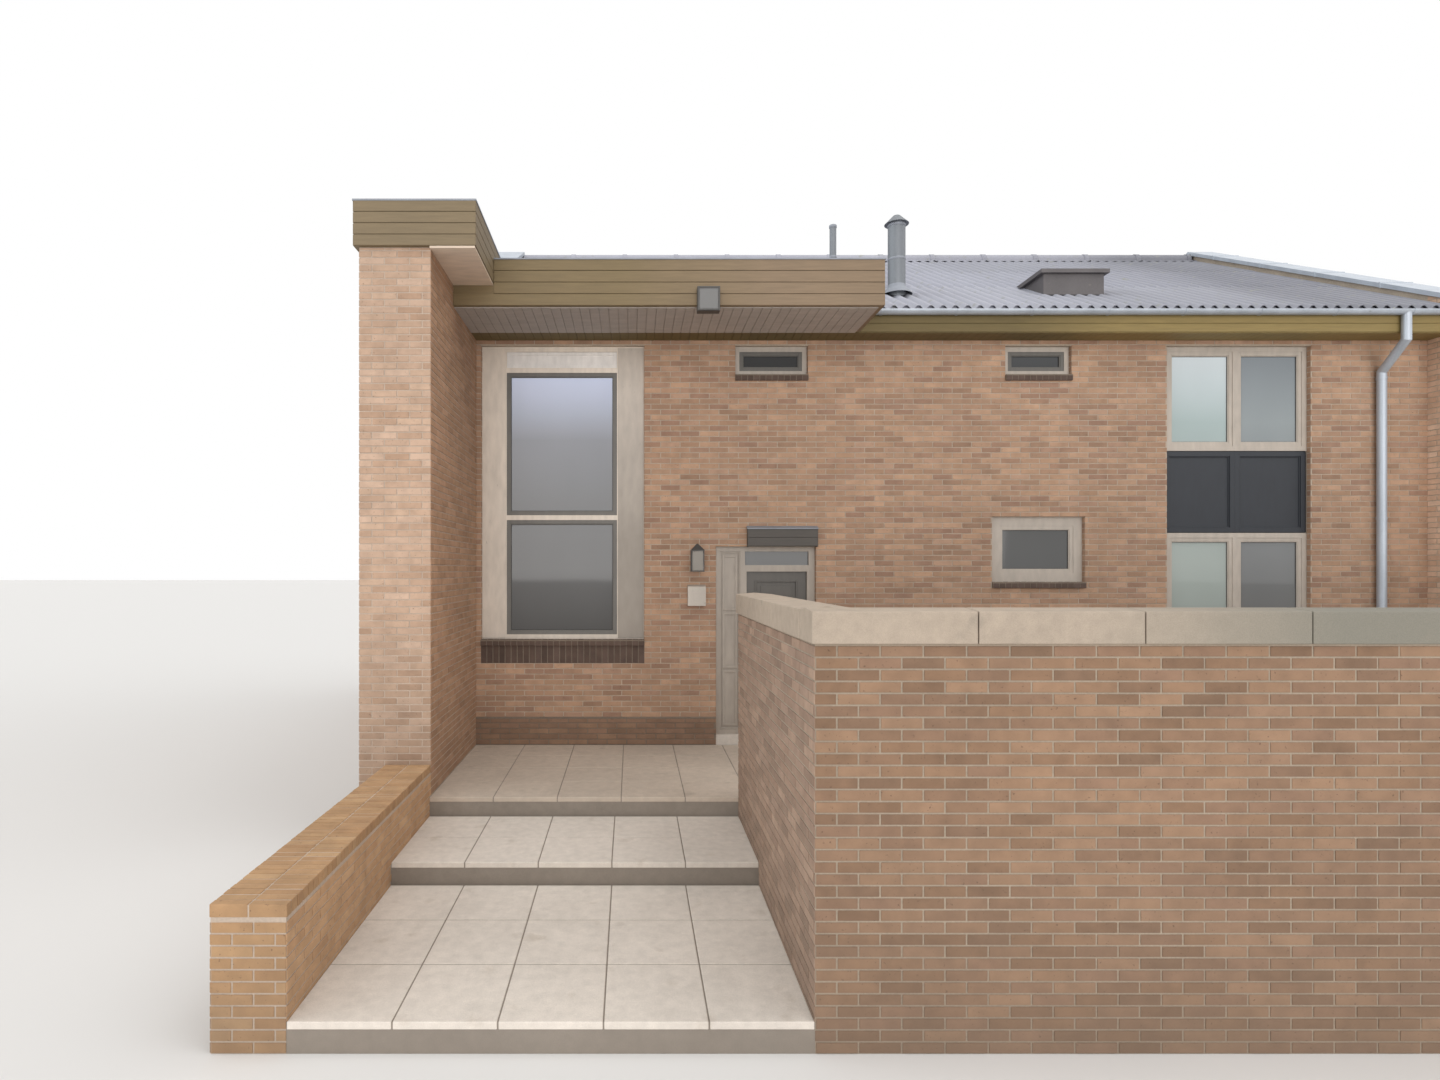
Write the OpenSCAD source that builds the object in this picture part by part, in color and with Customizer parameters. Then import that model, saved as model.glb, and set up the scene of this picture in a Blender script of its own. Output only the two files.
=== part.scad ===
// Two-storey brick terraced house with a walled front garden and a stepped entrance path.
// x runs along the front from the left party wall, y runs back from the front wall's outer
// face and z runs up from the lowest ground, which is at the foot of the steps.

/* [House] */
// Clear width between the two party walls
house_w = 11750; // [9500:50:14000]
// Depth from the front wall's outer face to the rear wall's outer face
house_d = 8400; // [7000:50:10000]
// Thickness of the front and rear walls
wall_t = 300; // [250:10:400]
// Height of the front wall from the landing to the eaves soffit
wall_h = 5000; // [4900:10:5600]
// Top of the ground floor above the landing
ground_floor_h = 120; // [90:5:180]
// Thickness of the ground floor slab
ground_slab_t = 200; // [150:10:300]
// Top of the upper floor above the landing
upper_floor_h = 2780; // [2750:10:2900]
// Thickness of the upper floor
upper_slab_t = 220; // [180:10:280]
// Width of the stair void behind the tall window
stair_void_w = 2250; // [2200:10:2800]
// Depth of the stair void from the front wall
stair_void_d = 3000; // [2000:50:3600]
// How far the plinth stands out from the wall
plinth_out = 20; // [10:5:40]
// Height of the plinth above the landing
plinth_h = 330; // [200:10:500]

/* [Party walls] */
// Thickness of the left party wall, which two houses share
left_party_t = 680; // [500:10:800]
// Thickness of the right party wall
right_party_t = 350; // [300:10:500]
// How far the left party wall stands out in front of the house
fin_out = 2240; // [1900:10:2280]
// Height of the fin's masonry above the landing
fin_h = 5240; // [5220:10:5600]
// How far the other party wall ends stand out past the walls
wall_end_out = 450; // [445:5:600]
// How far the party walls stand up above the roof
upstand = 120; // [60:10:200]
// Thickness of the sloping copings on the party walls
coping_t = 60; // [40:5:100]
// How far copings overhang the masonry on each side
coping_out = 40; // [20:5:60]
// Height of the boxed verge on top of the fin
verge_h = 430; // [250:10:450]
// How far the boxed verge overhangs the entrance side
verge_out = 430; // [200:10:500]
// Thickness of the board under the verge
verge_board_t = 20; // [12:1:25]

/* [Roof] */
// Pitch of both roof slopes in degrees
roof_pitch = 27; // [22:0.5:32]
// Thickness of the roof, square to the slope
roof_t = 200; // [150:10:260]
// Overhang of the eaves
eaves_out = 300; // [250:10:350]
// Height of the eaves fascia
fascia_h = 300; // [250:10:400]
// Thickness of fascia and soffit boards
board_t = 25; // [18:1:35]
// Height of the roof's underside above the soffit, at the eaves
eaves_gap = 60; // [40:5:120]
// Clearance under faces that seat on a slope
seat_gap = 0.3; // [0.2:0.1:2]
// Pitch of the roof sheets' ribs
rib_pitch = 146; // [140:2:300]
// Height of the ribs
rib_h = 42; // [20:1:50]
// Radius of the round ridge capping
ridge_r = 110; // [80:5:150]
// Outer radius of the gutters
gutter_r = 58; // [45:1:58]
// Sheet thickness of the gutters
gutter_t = 3; // [2:0.5:5]
// Length of the gutters' outlets
outlet_h = 40; // [20:5:60]
// Outer radius of the downpipes
downpipe_r = 50; // [35:1:55]

/* [Entrance canopy] */
// Length of the canopy along the front
canopy_w = 4630; // [4300:10:6000]
// How far the canopy stands out from the front wall
canopy_out = 1280; // [900:10:1500]
// Height of the canopy's fascia
canopy_fascia_h = 500; // [400:10:520]
// Thickness of the canopy's fascia
canopy_fascia_t = 40; // [25:5:60]
// Height of the canopy's joists
joist_h = 160; // [120:5:165]
// Thickness of one joist
joist_t = 50; // [38:1:75]
// Number of joists
joist_n = 8; // [5:1:12]
// Thickness of the canopy's deck
deck_t = 30; // [18:1:40]

/* [Steps] */
// Height of one riser
riser_h = 175; // [150:5:190]
// Depth of the entrance landing
landing_d = 2290; // [2100:10:2800]
// Depth of the middle step
middle_step_d = 1210; // [900:10:1500]
// Length of the landing from the left party wall
landing_w = 4250; // [4150:10:5000]

/* [Garden walls] */
// Distance from the front wall to the outer face of the garden wall
garden_d = 5440; // [4800:10:6500]
// Width of the entrance path between the low wall and the garden wall
path_w = 2936; // [2700:4:3100]
// Thickness of the garden walls
garden_t = 290; // [220:10:360]
// Height of the brickwork of the garden wall above the landing
garden_h = 1750; // [1500:10:1900]
// Height of the concrete coping
garden_coping_h = 195; // [80:5:220]
// How far the coping overhangs the wall's faces
garden_coping_out = 25; // [15:5:40]
// Thickness of the low wall
low_wall_t = 420; // [300:10:500]
// Height of the low wall's masonry above the landing
low_wall_h = 230; // [100:10:400]
// Thickness of the low wall's brick capping
low_cap_t = 70; // [50:5:100]

/* [Windows and door] */
// Depth of the window and door frames
frame_d = 90; // [70:5:120]
// Setback of the frames from the wall's face
reveal = 60; // [40:5:80]
// Face width of an ordinary frame member
frame_w = 60; // [45:5:80]
// Thickness of a pane of glass
glass_t = 24; // [12:2:36]
// Distance of the tall window from the left party wall
tall_x = 60; // [40:5:120]
// Width of the tall window
tall_w = 2020; // [1700:10:2080]
// Sill height of the tall window above the landing
tall_sill = 1230; // [1000:10:1400]
// Head height of the top windows above the landing
top_head = 4930; // [4700:10:4950]
// Face width of the tall window's left board
tall_left_w = 310; // [200:10:420]
// Face width of the tall window's right board
tall_right_w = 340; // [150:10:380]
// Height of the tall window's head board
tall_head_h = 200; // [150:10:420]
// Distance of the door opening from the left party wall
door_x = 2960; // [2900:5:3050]
// Width of the door opening
door_w = 1240; // [1180:10:1245]
// Head height of the door opening above the landing
door_head = 2450; // [2350:10:2500]
// Width of the fixed panel beside the door leaf
side_panel_w = 250; // [200:10:300]
// Thickness of that panel
side_panel_t = 30; // [20:2:40]
// Face width of the frame on the hinge side
hinge_jamb_w = 80; // [60:5:110]
// Height of the boarded hood over the door
hood_h = 250; // [150:10:300]
// How far the hood stands out
hood_out = 60; // [30:5:150]
// Height of the door's transom light
transom_h = 170; // [120:10:220]
// Thickness of the door leaf
leaf_t = 50; // [40:2:60]
// Running gap round the door leaf
leaf_gap = 8; // [7:1:9]
// Height of the threshold
threshold_h = 120; // [90:5:180]
// Radius of the hinge knuckles
knuckle_r = 10; // [8:1:12]
// Distance of that small window's centre line from the left party wall
over_door_x = 3650; // [3600:5:3700]
// Width of the small window over the door
over_door_w = 900; // [600:10:960]
// Distance of the kitchen windows' centre line from the left party wall
kitchen_x = 6945; // [6700:5:7200]
// Width of the upper kitchen-side window
bath_w = 820; // [700:10:1200]
// Height of the top-row small windows
small_h = 430; // [350:10:600]
// Width of the lower kitchen-side window
kitchen_w = 1150; // [800:10:1300]
// Height of the lower kitchen-side window
kitchen_h = 880; // [700:10:1000]
// Head height of the lower kitchen-side window above the landing
kitchen_head = 2820; // [2400:10:2900]
// Face width of that window's frame
kitchen_frame_w = 110; // [60:5:130]
// Distance of the stacked window from the left party wall
stack_x = 8530; // [8300:5:8800]
// Width of the stacked window
stack_w = 1780; // [1500:10:2100]
// Sill height of the stacked window above the landing
stack_sill = 1330; // [1000:10:1400]
// Height of each stacked window light
stack_light_h = 1290; // [1100:10:1350]
// Thickness of the panel between the lights
panel_t = 40; // [25:5:60]
// Width of a rear window
rear_win_w = 1500; // [1000:10:1800]
// Height of a rear window
rear_win_h = 1250; // [1000:10:1300]
// Number of rear windows in a row, which is even
rear_n = 4; // [2:2:4]
// Height of the window sills
sill_h = 70; // [50:5:90]
// How far the sills stand out
sill_out = 35; // [20:5:50]

/* [Fittings] */
// Radius of the tall flue on the roof
flue_r = 110; // [80:5:130]
// Height of the flue above the roof
flue_h = 950; // [600:10:1200]
// Distance of the flue from the left party wall
flue_x = 5360; // [5100:10:5700]
// Radius of the thin vent pipe
vent_r = 45; // [35:1:60]
// Distance of the vent pipe from the left party wall
vent_x = 4660; // [4300:10:4900]
// Height of the vent pipe above the roof
vent_h = 900; // [500:10:1000]
// Width of the roof cowl
cowl_w = 780; // [500:10:900]
// Height of the cowl's box above the roof
cowl_h = 330; // [200:10:400]
// Distance of the cowl from the left party wall
cowl_x = 7630; // [7000:10:8000]
// Distance of the downpipes from the right party wall
front_pipe_x = 630; // [500:10:1200]
// Width and height of the wall lantern
lantern_w = 160; // [120:5:200]
// Distance of the lantern from the door opening
lantern_off = 240; // [150:10:400]
// Width of the letter box
box_w = 220; // [180:10:300]
// Height of the letter box
box_h = 260; // [200:10:350]
// Depth of the letter box
box_d = 90; // [70:5:140]
// Distance of the floodlight from the left party wall
flood_off = 2620; // [2000:10:3200]

/* [Hidden] */
$fn = 48;

// Levels above the lowest ground
landing_z = 3 * riser_h;
soffit_z = landing_z + wall_h;
ground_z = landing_z + ground_floor_h;
upper_z = landing_z + upper_floor_h;
fin_z = landing_z + fin_h;
garden_z = landing_z + garden_h;

// Places along x and y
in_x = left_party_t;
end_x = in_x + house_w;
total_w = end_x + right_party_t;
return_x = in_x + path_w;
ridge_y = house_d / 2;
rear_end = house_d + wall_end_out;
low_y = -garden_d - garden_coping_out;
centre_y = (low_y + rear_end) / 2;

// Roof lines, for y from the front eaves to the ridge
roof_rise = tan(roof_pitch);
roof_v = roof_t / cos(roof_pitch);
function under_z(y) = soffit_z + eaves_gap + (y + eaves_out) * roof_rise;
function top_z(y) = under_z(y) + roof_v;
function crown_z(y) = top_z(y) + upstand;

brick = [0.65, 0.52, 0.42];
pale_brick = [0.79, 0.68, 0.58];
concrete = [0.78, 0.74, 0.69];
timber = [0.54, 0.46, 0.35];
joinery = [0.70, 0.65, 0.60];
zinc = [0.70, 0.74, 0.78];
sheeting = [0.71, 0.72, 0.76];
slate_blue = [0.27, 0.28, 0.32];
pane = [0.55, 0.62, 0.66];

// A box given by its low and high corners
module span(low, high) {
    translate(low) cube(high - low);
}

// A profile in the y-z plane carried along x
module along_x(x0, x1, points) {
    translate([x0, 0, 0]) rotate([90, 0, 90]) linear_extrude(x1 - x0) polygon(points);
}

// Mirrors front pieces to the rear of the house
module at_rear() {
    translate([0, house_d, 0]) mirror([0, 1, 0]) children();
}

// A length of front wall whose top follows the roof's underside
module wall_run(x0, x1, foot_z) {
    along_x(x0, x1, [[0, foot_z], [wall_t, foot_z], [wall_t, under_z(wall_t) - seat_gap],
        [0, under_z(0) - seat_gap]]);
}

// An opening cut through the wall, from the sill up to the head
module wall_cut(x0, w, sill_z, head_z) {
    span([x0, -wall_t, sill_z], [x0 + w, 2 * wall_t, head_z]);
}

// The outline of a party wall from front_y to the rear end
function party_outline(front_y, front_top) = let (meet = max(front_y + 1,
        (front_top - crown_z(0)) / roof_rise)) [[front_y, 0], [rear_end, 0],
        [rear_end, crown_z(-wall_end_out)], [ridge_y, crown_z(ridge_y)],
        [meet, crown_z(meet)], [front_y, max(front_top, crown_z(front_y))]];

module left_party_wall() {
    color(pale_brick) along_x(0, left_party_t, party_outline(-fin_out, fin_z));
}

module right_party_wall() {
    color(brick) along_x(end_x, total_w, [[-wall_end_out, 0], [rear_end, 0],
        [rear_end, crown_z(-wall_end_out)], [ridge_y, crown_z(ridge_y)],
        [-wall_end_out, crown_z(-wall_end_out)]]);
}

// A folded coping over the gable line, between two y values
module gable_coping(x0, x1, front_y) {
    back_y = rear_end;
    along_x(x0 - coping_out, x1 + coping_out, [[front_y, crown_z(front_y)],
        [ridge_y, crown_z(ridge_y)], [back_y, crown_z(house_d - back_y)],
        [back_y, crown_z(house_d - back_y) + coping_t], [ridge_y, crown_z(ridge_y) + coping_t],
        [front_y, crown_z(front_y) + coping_t]]);
}

// Where the fin's level top meets the gable line
fin_meet_y = (fin_z - crown_z(0)) / roof_rise;
verge_end_y = fin_meet_y - seat_gap;
verge_front_y = -fin_out - coping_out;

module left_party_coping() {
    color(zinc) gable_coping(0, left_party_t, fin_meet_y);
}

module right_party_coping() {
    color(zinc) gable_coping(end_x, total_w, -wall_end_out);
}

module fin_verge_box() {
    color(timber) span([-coping_out, verge_front_y, fin_z],
        [in_x + verge_out, verge_end_y, fin_z + verge_h]);
}

module fin_verge_soffit() {
    color(joinery) span([in_x, verge_front_y, fin_z - verge_board_t],
        [in_x + verge_out, verge_end_y, fin_z]);
}

// Places of the front openings
tall_x0 = in_x + tall_x;
door_x0 = in_x + door_x;
door_x1 = door_x0 + door_w;
kitchen_mid = in_x + kitchen_x;
stack_x0 = in_x + stack_x;
stack_x1 = stack_x0 + stack_w;
top_z0 = landing_z + top_head;
bay_split = (kitchen_mid + kitchen_w / 2 + stack_x0) / 2;
over_door_x0 = in_x + over_door_x - over_door_w / 2;
stack_sill_z = landing_z + stack_sill;
stack_top_sill_z = top_z0 - stack_light_h;
stack_low_head_z = stack_sill_z + stack_light_h;

module front_wall_stair_bay() {
    color(brick) difference() {
        wall_run(in_x, door_x0, 0);
        wall_cut(tall_x0, tall_w, landing_z + tall_sill, top_z0);
    }
}

module front_wall_over_door() {
    color(brick) difference() {
        wall_run(door_x0, door_x1, landing_z + door_head);
        wall_cut(over_door_x0, over_door_w, top_z0 - small_h, top_z0);
    }
}

module front_wall_kitchen_bay() {
    color(brick) difference() {
        wall_run(door_x1, bay_split, 0);
        wall_cut(kitchen_mid - bath_w / 2, bath_w, top_z0 - small_h, top_z0);
        wall_cut(kitchen_mid - kitchen_w / 2, kitchen_w,
            landing_z + kitchen_head - kitchen_h, landing_z + kitchen_head);
    }
}

module front_wall_window_bay() {
    color(brick) difference() {
        wall_run(bay_split, end_x, 0);
        wall_cut(stack_x0, stack_w, stack_sill_z, top_z0);
    }
}

// Rear windows stand in two rows at even spacing
rear_pitch = house_w / rear_n;
function rear_x(i) = in_x + rear_pitch * (i + 0.5) - rear_win_w / 2;
rear_heads = [landing_z + door_head, top_z0];

module rear_wall() {
    color(brick) difference() {
        at_rear() wall_run(in_x, end_x, 0);
        for (i = [0:rear_n - 1], head = rear_heads)
            at_rear() wall_cut(rear_x(i), rear_win_w, head - rear_win_h, head);
    }
}

module front_plinth() {
    color([0.48, 0.37, 0.29]) {
        span([in_x, -plinth_out, landing_z], [door_x0, 0, landing_z + plinth_h]);
        span([door_x1, -plinth_out, landing_z], [in_x + landing_w, 0, landing_z + plinth_h]);
        span([in_x + landing_w, -plinth_out, 0], [end_x, 0, landing_z + plinth_h]);
    }
}

module ground_floor() {
    color(concrete) span([in_x, wall_t, ground_z - ground_slab_t],
        [end_x, house_d - wall_t, ground_z]);
}

module upper_floor() {
    color(concrete) difference() {
        span([in_x, wall_t, upper_z - upper_slab_t], [end_x, house_d - wall_t, upper_z]);
        span([in_x - 1, 0, 0], [in_x + stair_void_w, wall_t + stair_void_d, upper_z + 1]);
    }
}

module entrance_landing() {
    color(concrete) span([in_x, -landing_d, 0], [in_x + landing_w, 0, landing_z]);
}

module middle_step() {
    color(concrete) span([in_x, -landing_d - middle_step_d, 0],
        [return_x, -landing_d, 2 * riser_h]);
}

module lower_step() {
    color(concrete) span([in_x, -garden_d, 0], [return_x, -landing_d - middle_step_d, riser_h]);
}

low_wall_z = landing_z + low_wall_h;

module low_wall() {
    color([0.72, 0.58, 0.45]) span([in_x - low_wall_t, -garden_d, 0], [in_x, -fin_out, low_wall_z]);
}

module low_wall_capping() {
    color(pale_brick) span([in_x - low_wall_t, -garden_d, low_wall_z],
        [in_x, -fin_out, low_wall_z + low_cap_t]);
}

module garden_wall_front() {
    color(brick) span([return_x, -garden_d, 0], [total_w, garden_t - garden_d, garden_z]);
}

module garden_wall_return() {
    color(brick) span([return_x, garden_t - garden_d, 0],
        [return_x + garden_t, -landing_d, garden_z]);
}

module garden_wall_side() {
    color(brick) span([total_w - garden_t, garden_t - garden_d, 0],
        [total_w, -wall_end_out, garden_z]);
}

// The coping follows all three walls as one run
module garden_coping() {
    in_y = garden_t - garden_d + garden_coping_out;
    color(concrete) difference() {
        span([return_x - garden_coping_out, low_y, garden_z],
            [total_w + coping_out, -wall_end_out, garden_z + garden_coping_h]);
        span([return_x + garden_t + garden_coping_out, in_y, 0],
            [total_w - garden_t - garden_coping_out, 0, garden_z + 2 * garden_coping_h]);
        span([return_x - 2 * garden_coping_out, garden_coping_out - landing_d, 0],
            [return_x + garden_t + 2 * garden_coping_out, 0, garden_z + 2 * garden_coping_h]);
    }
}

// Corrugations as a comb of ribs, which is sunk a little into the slope that carries it
rib_n = floor(house_w / rib_pitch);
rib_step = house_w / rib_n;
rib_sunk = 5;
rib_ring = [for (i = [0:rib_n - 1]) each [[i * rib_step, 0], [(i + 0.25) * rib_step, rib_h],
    [(i + 0.5) * rib_step, rib_h], [(i + 0.75) * rib_step, 0]]];
slope_l = (ridge_y + eaves_out) / cos(roof_pitch);
crest_v = rib_h / cos(roof_pitch);

module roof_ribs() {
    translate([in_x, -eaves_out, top_z(-eaves_out)]) rotate([90 + roof_pitch, 0, 0])
        mirror([0, 0, 1]) linear_extrude(slope_l)
            polygon(concat([[0, -rib_sunk]], rib_ring, [[house_w, 0], [house_w, -rib_sunk]]));
}

module front_roof_slope() {
    color(sheeting) intersection() {
        union() {
            along_x(in_x, end_x, [[-eaves_out, under_z(-eaves_out)],
                [ridge_y, under_z(ridge_y)], [ridge_y, top_z(ridge_y)],
                [-eaves_out, top_z(-eaves_out)]]);
            roof_ribs();
        }
        span([in_x, -eaves_out, 0], [end_x, ridge_y, 2 * top_z(ridge_y)]);
    }
}

module rear_roof_slope() {
    at_rear() front_roof_slope();
}

// A round capping between the party walls' copings, whose skirt lies over both slopes
module ridge_capping() {
    foot_z = top_z(ridge_y) + crest_v + seat_gap;
    skirt = 2 * ridge_r;
    skirt_z = foot_z - skirt * roof_rise;
    color(sheeting) difference() {
        translate([in_x + coping_out + seat_gap, ridge_y, foot_z - ridge_r / 4])
            rotate([0, 90, 0]) cylinder(h = house_w - 2 * (coping_out + seat_gap), r = ridge_r);
        along_x(in_x - 1, end_x + 1, [[ridge_y - skirt, skirt_z], [ridge_y, foot_z],
            [ridge_y + skirt, skirt_z], [ridge_y + skirt, 0], [ridge_y - skirt, 0]]);
    }
}

// Fascia and soffit boards that close the eaves
module front_eaves() {
    color(timber) along_x(in_x, end_x, [[-eaves_out - board_t, soffit_z],
        [0, soffit_z], [0, soffit_z + board_t], [-eaves_out, soffit_z + board_t],
        [-eaves_out, soffit_z + fascia_h - board_t],
        [-eaves_out - board_t, soffit_z + fascia_h - board_t]]);
}

module rear_eaves() {
    at_rear() front_eaves();
}

canopy_x1 = in_x + canopy_w;
canopy_back_y = -eaves_out - board_t;
canopy_in_y = -canopy_out + canopy_fascia_t;
joist_z = soffit_z + board_t;

module canopy_fascia() {
    color(timber) {
        difference() {
            span([in_x, -canopy_out, soffit_z], [canopy_x1, canopy_back_y,
                soffit_z + canopy_fascia_h]);
            span([in_x - 1, canopy_in_y, 0], [canopy_x1 - canopy_fascia_t, 0,
                soffit_z + 2 * canopy_fascia_h]);
            span([in_x - 1, verge_front_y, fin_z - verge_board_t], [in_x + verge_out,
                verge_end_y, soffit_z + 2 * canopy_fascia_h]);
        }
    }
}

module canopy_soffit() {
    color(timber) span([in_x, canopy_in_y, soffit_z],
        [canopy_x1 - canopy_fascia_t, canopy_back_y, joist_z]);
}

module canopy_joists() {
    joist_run = canopy_w - canopy_fascia_t - joist_t;
    color(timber) for (i = [0:joist_n - 1])
        translate([in_x + i * joist_run / (joist_n - 1), 0, 0])
            span([0, canopy_in_y, joist_z], [joist_t, canopy_back_y, joist_z + joist_h]);
}

module canopy_deck() {
    color(sheeting) span([in_x, canopy_in_y, joist_z + joist_h],
        [canopy_x1 - canopy_fascia_t, canopy_back_y, joist_z + joist_h + deck_t]);
}

// A half-round gutter with closed ends and an outlet, hung on the fascia
gutter_z = soffit_z + fascia_h - board_t - gutter_r / 2;
gutter_y = -eaves_out - board_t - gutter_r;
pipe_x = end_x - front_pipe_x;

module gutter(x0, x1) {
    color(zinc) difference() {
        union() {
            translate([x0, gutter_y, gutter_z]) rotate([0, 90, 0])
                cylinder(h = x1 - x0, r = gutter_r);
            translate([pipe_x, gutter_y, gutter_z - gutter_r - outlet_h])
                cylinder(h = outlet_h + gutter_r, r = downpipe_r);
        }
        translate([x0 + gutter_t, gutter_y, gutter_z]) rotate([0, 90, 0])
            cylinder(h = x1 - x0 - 2 * gutter_t, r = gutter_r - gutter_t);
        span([x0 - 1, gutter_y - gutter_r - 1, gutter_z],
            [x1 + 1, gutter_y + gutter_r + 1, gutter_z + gutter_r + 1]);
    }
}

module front_gutter() {
    gutter(canopy_x1, end_x);
}

module rear_gutter() {
    at_rear() gutter(in_x, end_x);
}

// A downpipe with a mitred 45 degree neck from the gutter back to the wall
neck_turn = 45;
clip_h = 30;
clip_t = 4;

// The stretch of pipe between two mitre planes that lie square to half the turn
module mitred_pipe(low, high, lean) {
    run = high - low;
    far = norm(run) + 4 * downpipe_r;
    tilt = neck_turn / 2;
    intersection() {
        translate(low) rotate([lean, 0, 0]) translate([0, 0, -2 * downpipe_r])
            cylinder(h = far, r = downpipe_r);
        translate(low) rotate([tilt, 0, 0]) translate([-far, -far, 0])
            cube([2 * far, 2 * far, run[2] * cos(tilt) - run[1] * sin(tilt)]);
    }
}

module downpipe(x) {
    neck_y = gutter_y;
    wall_y = -downpipe_r - plinth_out;
    neck_z = soffit_z - 2 * downpipe_r;
    low_z = neck_z - (wall_y - neck_y) / tan(neck_turn);
    top_z = gutter_z - gutter_r - outlet_h;
    color(zinc) translate([x, 0, 0]) {
        intersection() {
            mitred_pipe([0, neck_y, neck_z], [0, neck_y, top_z + 2 * downpipe_r], 0);
            translate([0, neck_y, 0]) cylinder(h = top_z, r = 2 * downpipe_r);
        }
        mitred_pipe([0, wall_y, low_z], [0, neck_y, neck_z], neck_turn);
        difference() {
            translate([0, wall_y, 0]) cylinder(h = low_z + downpipe_r, r = downpipe_r);
            translate([0, wall_y, low_z]) rotate([neck_turn / 2, 0, 0])
                translate([-2 * downpipe_r, -2 * downpipe_r, 0])
                cube(4 * downpipe_r);
        }
        for (z = [low_z - 3 * clip_h, upper_z, ground_z + plinth_h])
            translate([0, wall_y, z]) {
                cylinder(h = clip_h, r = downpipe_r + clip_t);
                span([-clip_h / 2, 0, 0], [clip_h / 2, -wall_y, clip_h]);
            }
    }
}

module front_downpipe() {
    downpipe(pipe_x);
}

module rear_downpipe() {
    at_rear() downpipe(pipe_x);
}

// A ring of frame members that fills an opening, with an optional mullion
module window_frame(x0, w, z0, z1, face, mullion_at) {
    inner_w = w - 2 * face;
    difference() {
        span([x0, reveal, z0], [x0 + w, reveal + frame_d, z1]);
        span([x0 + face, 0, z0 + face], [x0 + w - face, wall_t, z1 - face]);
    }
    if (mullion_at > 0)
        span([x0 + face + inner_w * mullion_at - face / 2, reveal, z0 + face],
            [x0 + face + inner_w * mullion_at + face / 2, reveal + frame_d, z1 - face]);
}

// The panes that fill such a ring
module window_pane(x0, w, z0, z1, face, mullion_at) {
    inner_w = w - 2 * face;
    pane_y = reveal + (frame_d - glass_t) / 2;
    low_x = x0 + face;
    difference() {
        span([low_x, pane_y, z0 + face], [low_x + inner_w, pane_y + glass_t, z1 - face]);
        if (mullion_at > 0)
            span([low_x + inner_w * mullion_at - face / 2, 0, z0],
                [low_x + inner_w * mullion_at + face / 2, wall_t, z1]);
    }
}

// The tall window has broad side boards and a boarded head
tall_z0 = landing_z + tall_sill + sill_h;
tall_board_z = top_z0 - frame_w - tall_head_h;
tall_light_x0 = tall_x0 + tall_left_w;
tall_light_x1 = tall_x0 + tall_w - tall_right_w;
tall_light_z1 = tall_board_z - frame_w;

module tall_window_frame() {
    color(joinery) difference() {
        span([tall_x0, reveal, tall_z0], [tall_x0 + tall_w, reveal + frame_d, top_z0]);
        span([tall_light_x0, 0, tall_z0 + frame_w], [tall_light_x1, wall_t, upper_z]);
        span([tall_light_x0, 0, upper_z + frame_w], [tall_light_x1, wall_t, tall_light_z1]);
        span([tall_light_x0, 0, tall_board_z], [tall_light_x1, wall_t, top_z0 - frame_w]);
    }
}

module tall_window_head_board() {
    color([0.76, 0.74, 0.72]) span([tall_light_x0, reveal + board_t, tall_board_z],
        [tall_light_x1, reveal + 2 * board_t, top_z0 - frame_w]);
}

// Both kitchen-side windows and the one over the door, as [x, width, sill, head, face]
small_windows = [
    [over_door_x0, over_door_w, top_z0 - small_h, top_z0, frame_w],
    [kitchen_mid - bath_w / 2, bath_w, top_z0 - small_h, top_z0, frame_w],
    [kitchen_mid - kitchen_w / 2, kitchen_w, landing_z + kitchen_head - kitchen_h,
        landing_z + kitchen_head, kitchen_frame_w]];

module small_window_frames() {
    color(joinery) for (v = small_windows)
        window_frame(v[0], v[1], v[2] + sill_h, v[3], v[4], 0);
}

// The stacked window's lights, as [sill, head]
stack_lights = [[stack_sill_z + sill_h, stack_low_head_z], [stack_top_sill_z, top_z0]];
stack_mullion_at = 0.5;

module stacked_window_frames() {
    color(joinery) for (v = stack_lights)
        window_frame(stack_x0, stack_w, v[0], v[1], frame_w, stack_mullion_at);
}

module spandrel_panel() {
    panel_y = reveal + board_t;
    color(slate_blue) span([stack_x0, panel_y, stack_low_head_z],
        [stack_x1, panel_y + panel_t, stack_top_sill_z]);
}

module front_window_glass() {
    pane_y = reveal + (frame_d - glass_t) / 2;
    color(pane) {
        span([tall_light_x0, pane_y, tall_z0 + frame_w],
            [tall_light_x1, pane_y + glass_t, upper_z]);
        span([tall_light_x0, pane_y, upper_z + frame_w],
            [tall_light_x1, pane_y + glass_t, tall_light_z1]);
        for (v = small_windows) window_pane(v[0], v[1], v[2] + sill_h, v[3], v[4], 0);
        for (v = stack_lights)
            window_pane(stack_x0, stack_w, v[0], v[1], frame_w, stack_mullion_at);
    }
}

module rear_window_frames() {
    color(joinery) for (i = [0:rear_n - 1], head = rear_heads)
        at_rear() window_frame(rear_x(i), rear_win_w, head - rear_win_h + sill_h, head,
            frame_w, 0.5);
}

module rear_window_glass() {
    color(pane) for (i = [0:rear_n - 1], head = rear_heads)
        at_rear() window_pane(rear_x(i), rear_win_w, head - rear_win_h + sill_h, head,
            frame_w, 0.5);
}

// One sill, which fills the foot of an opening and stands out in front
module sill(x0, w, z0) {
    span([x0, -sill_out, z0], [x0 + w, reveal + frame_d, z0 + sill_h]);
}

module window_sills() {
    color([0.50, 0.38, 0.33]) {
        sill(tall_x0, tall_w, landing_z + tall_sill);
        sill(stack_x0, stack_w, stack_sill_z);
        for (v = small_windows) sill(v[0], v[1], v[2]);
        for (i = [0:rear_n - 1], head = rear_heads)
            at_rear() sill(rear_x(i), rear_win_w, head - rear_win_h);
    }
}

module door_threshold() {
    color(concrete) span([door_x0, 0, 0], [door_x1, wall_t, landing_z + threshold_h]);
}

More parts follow.
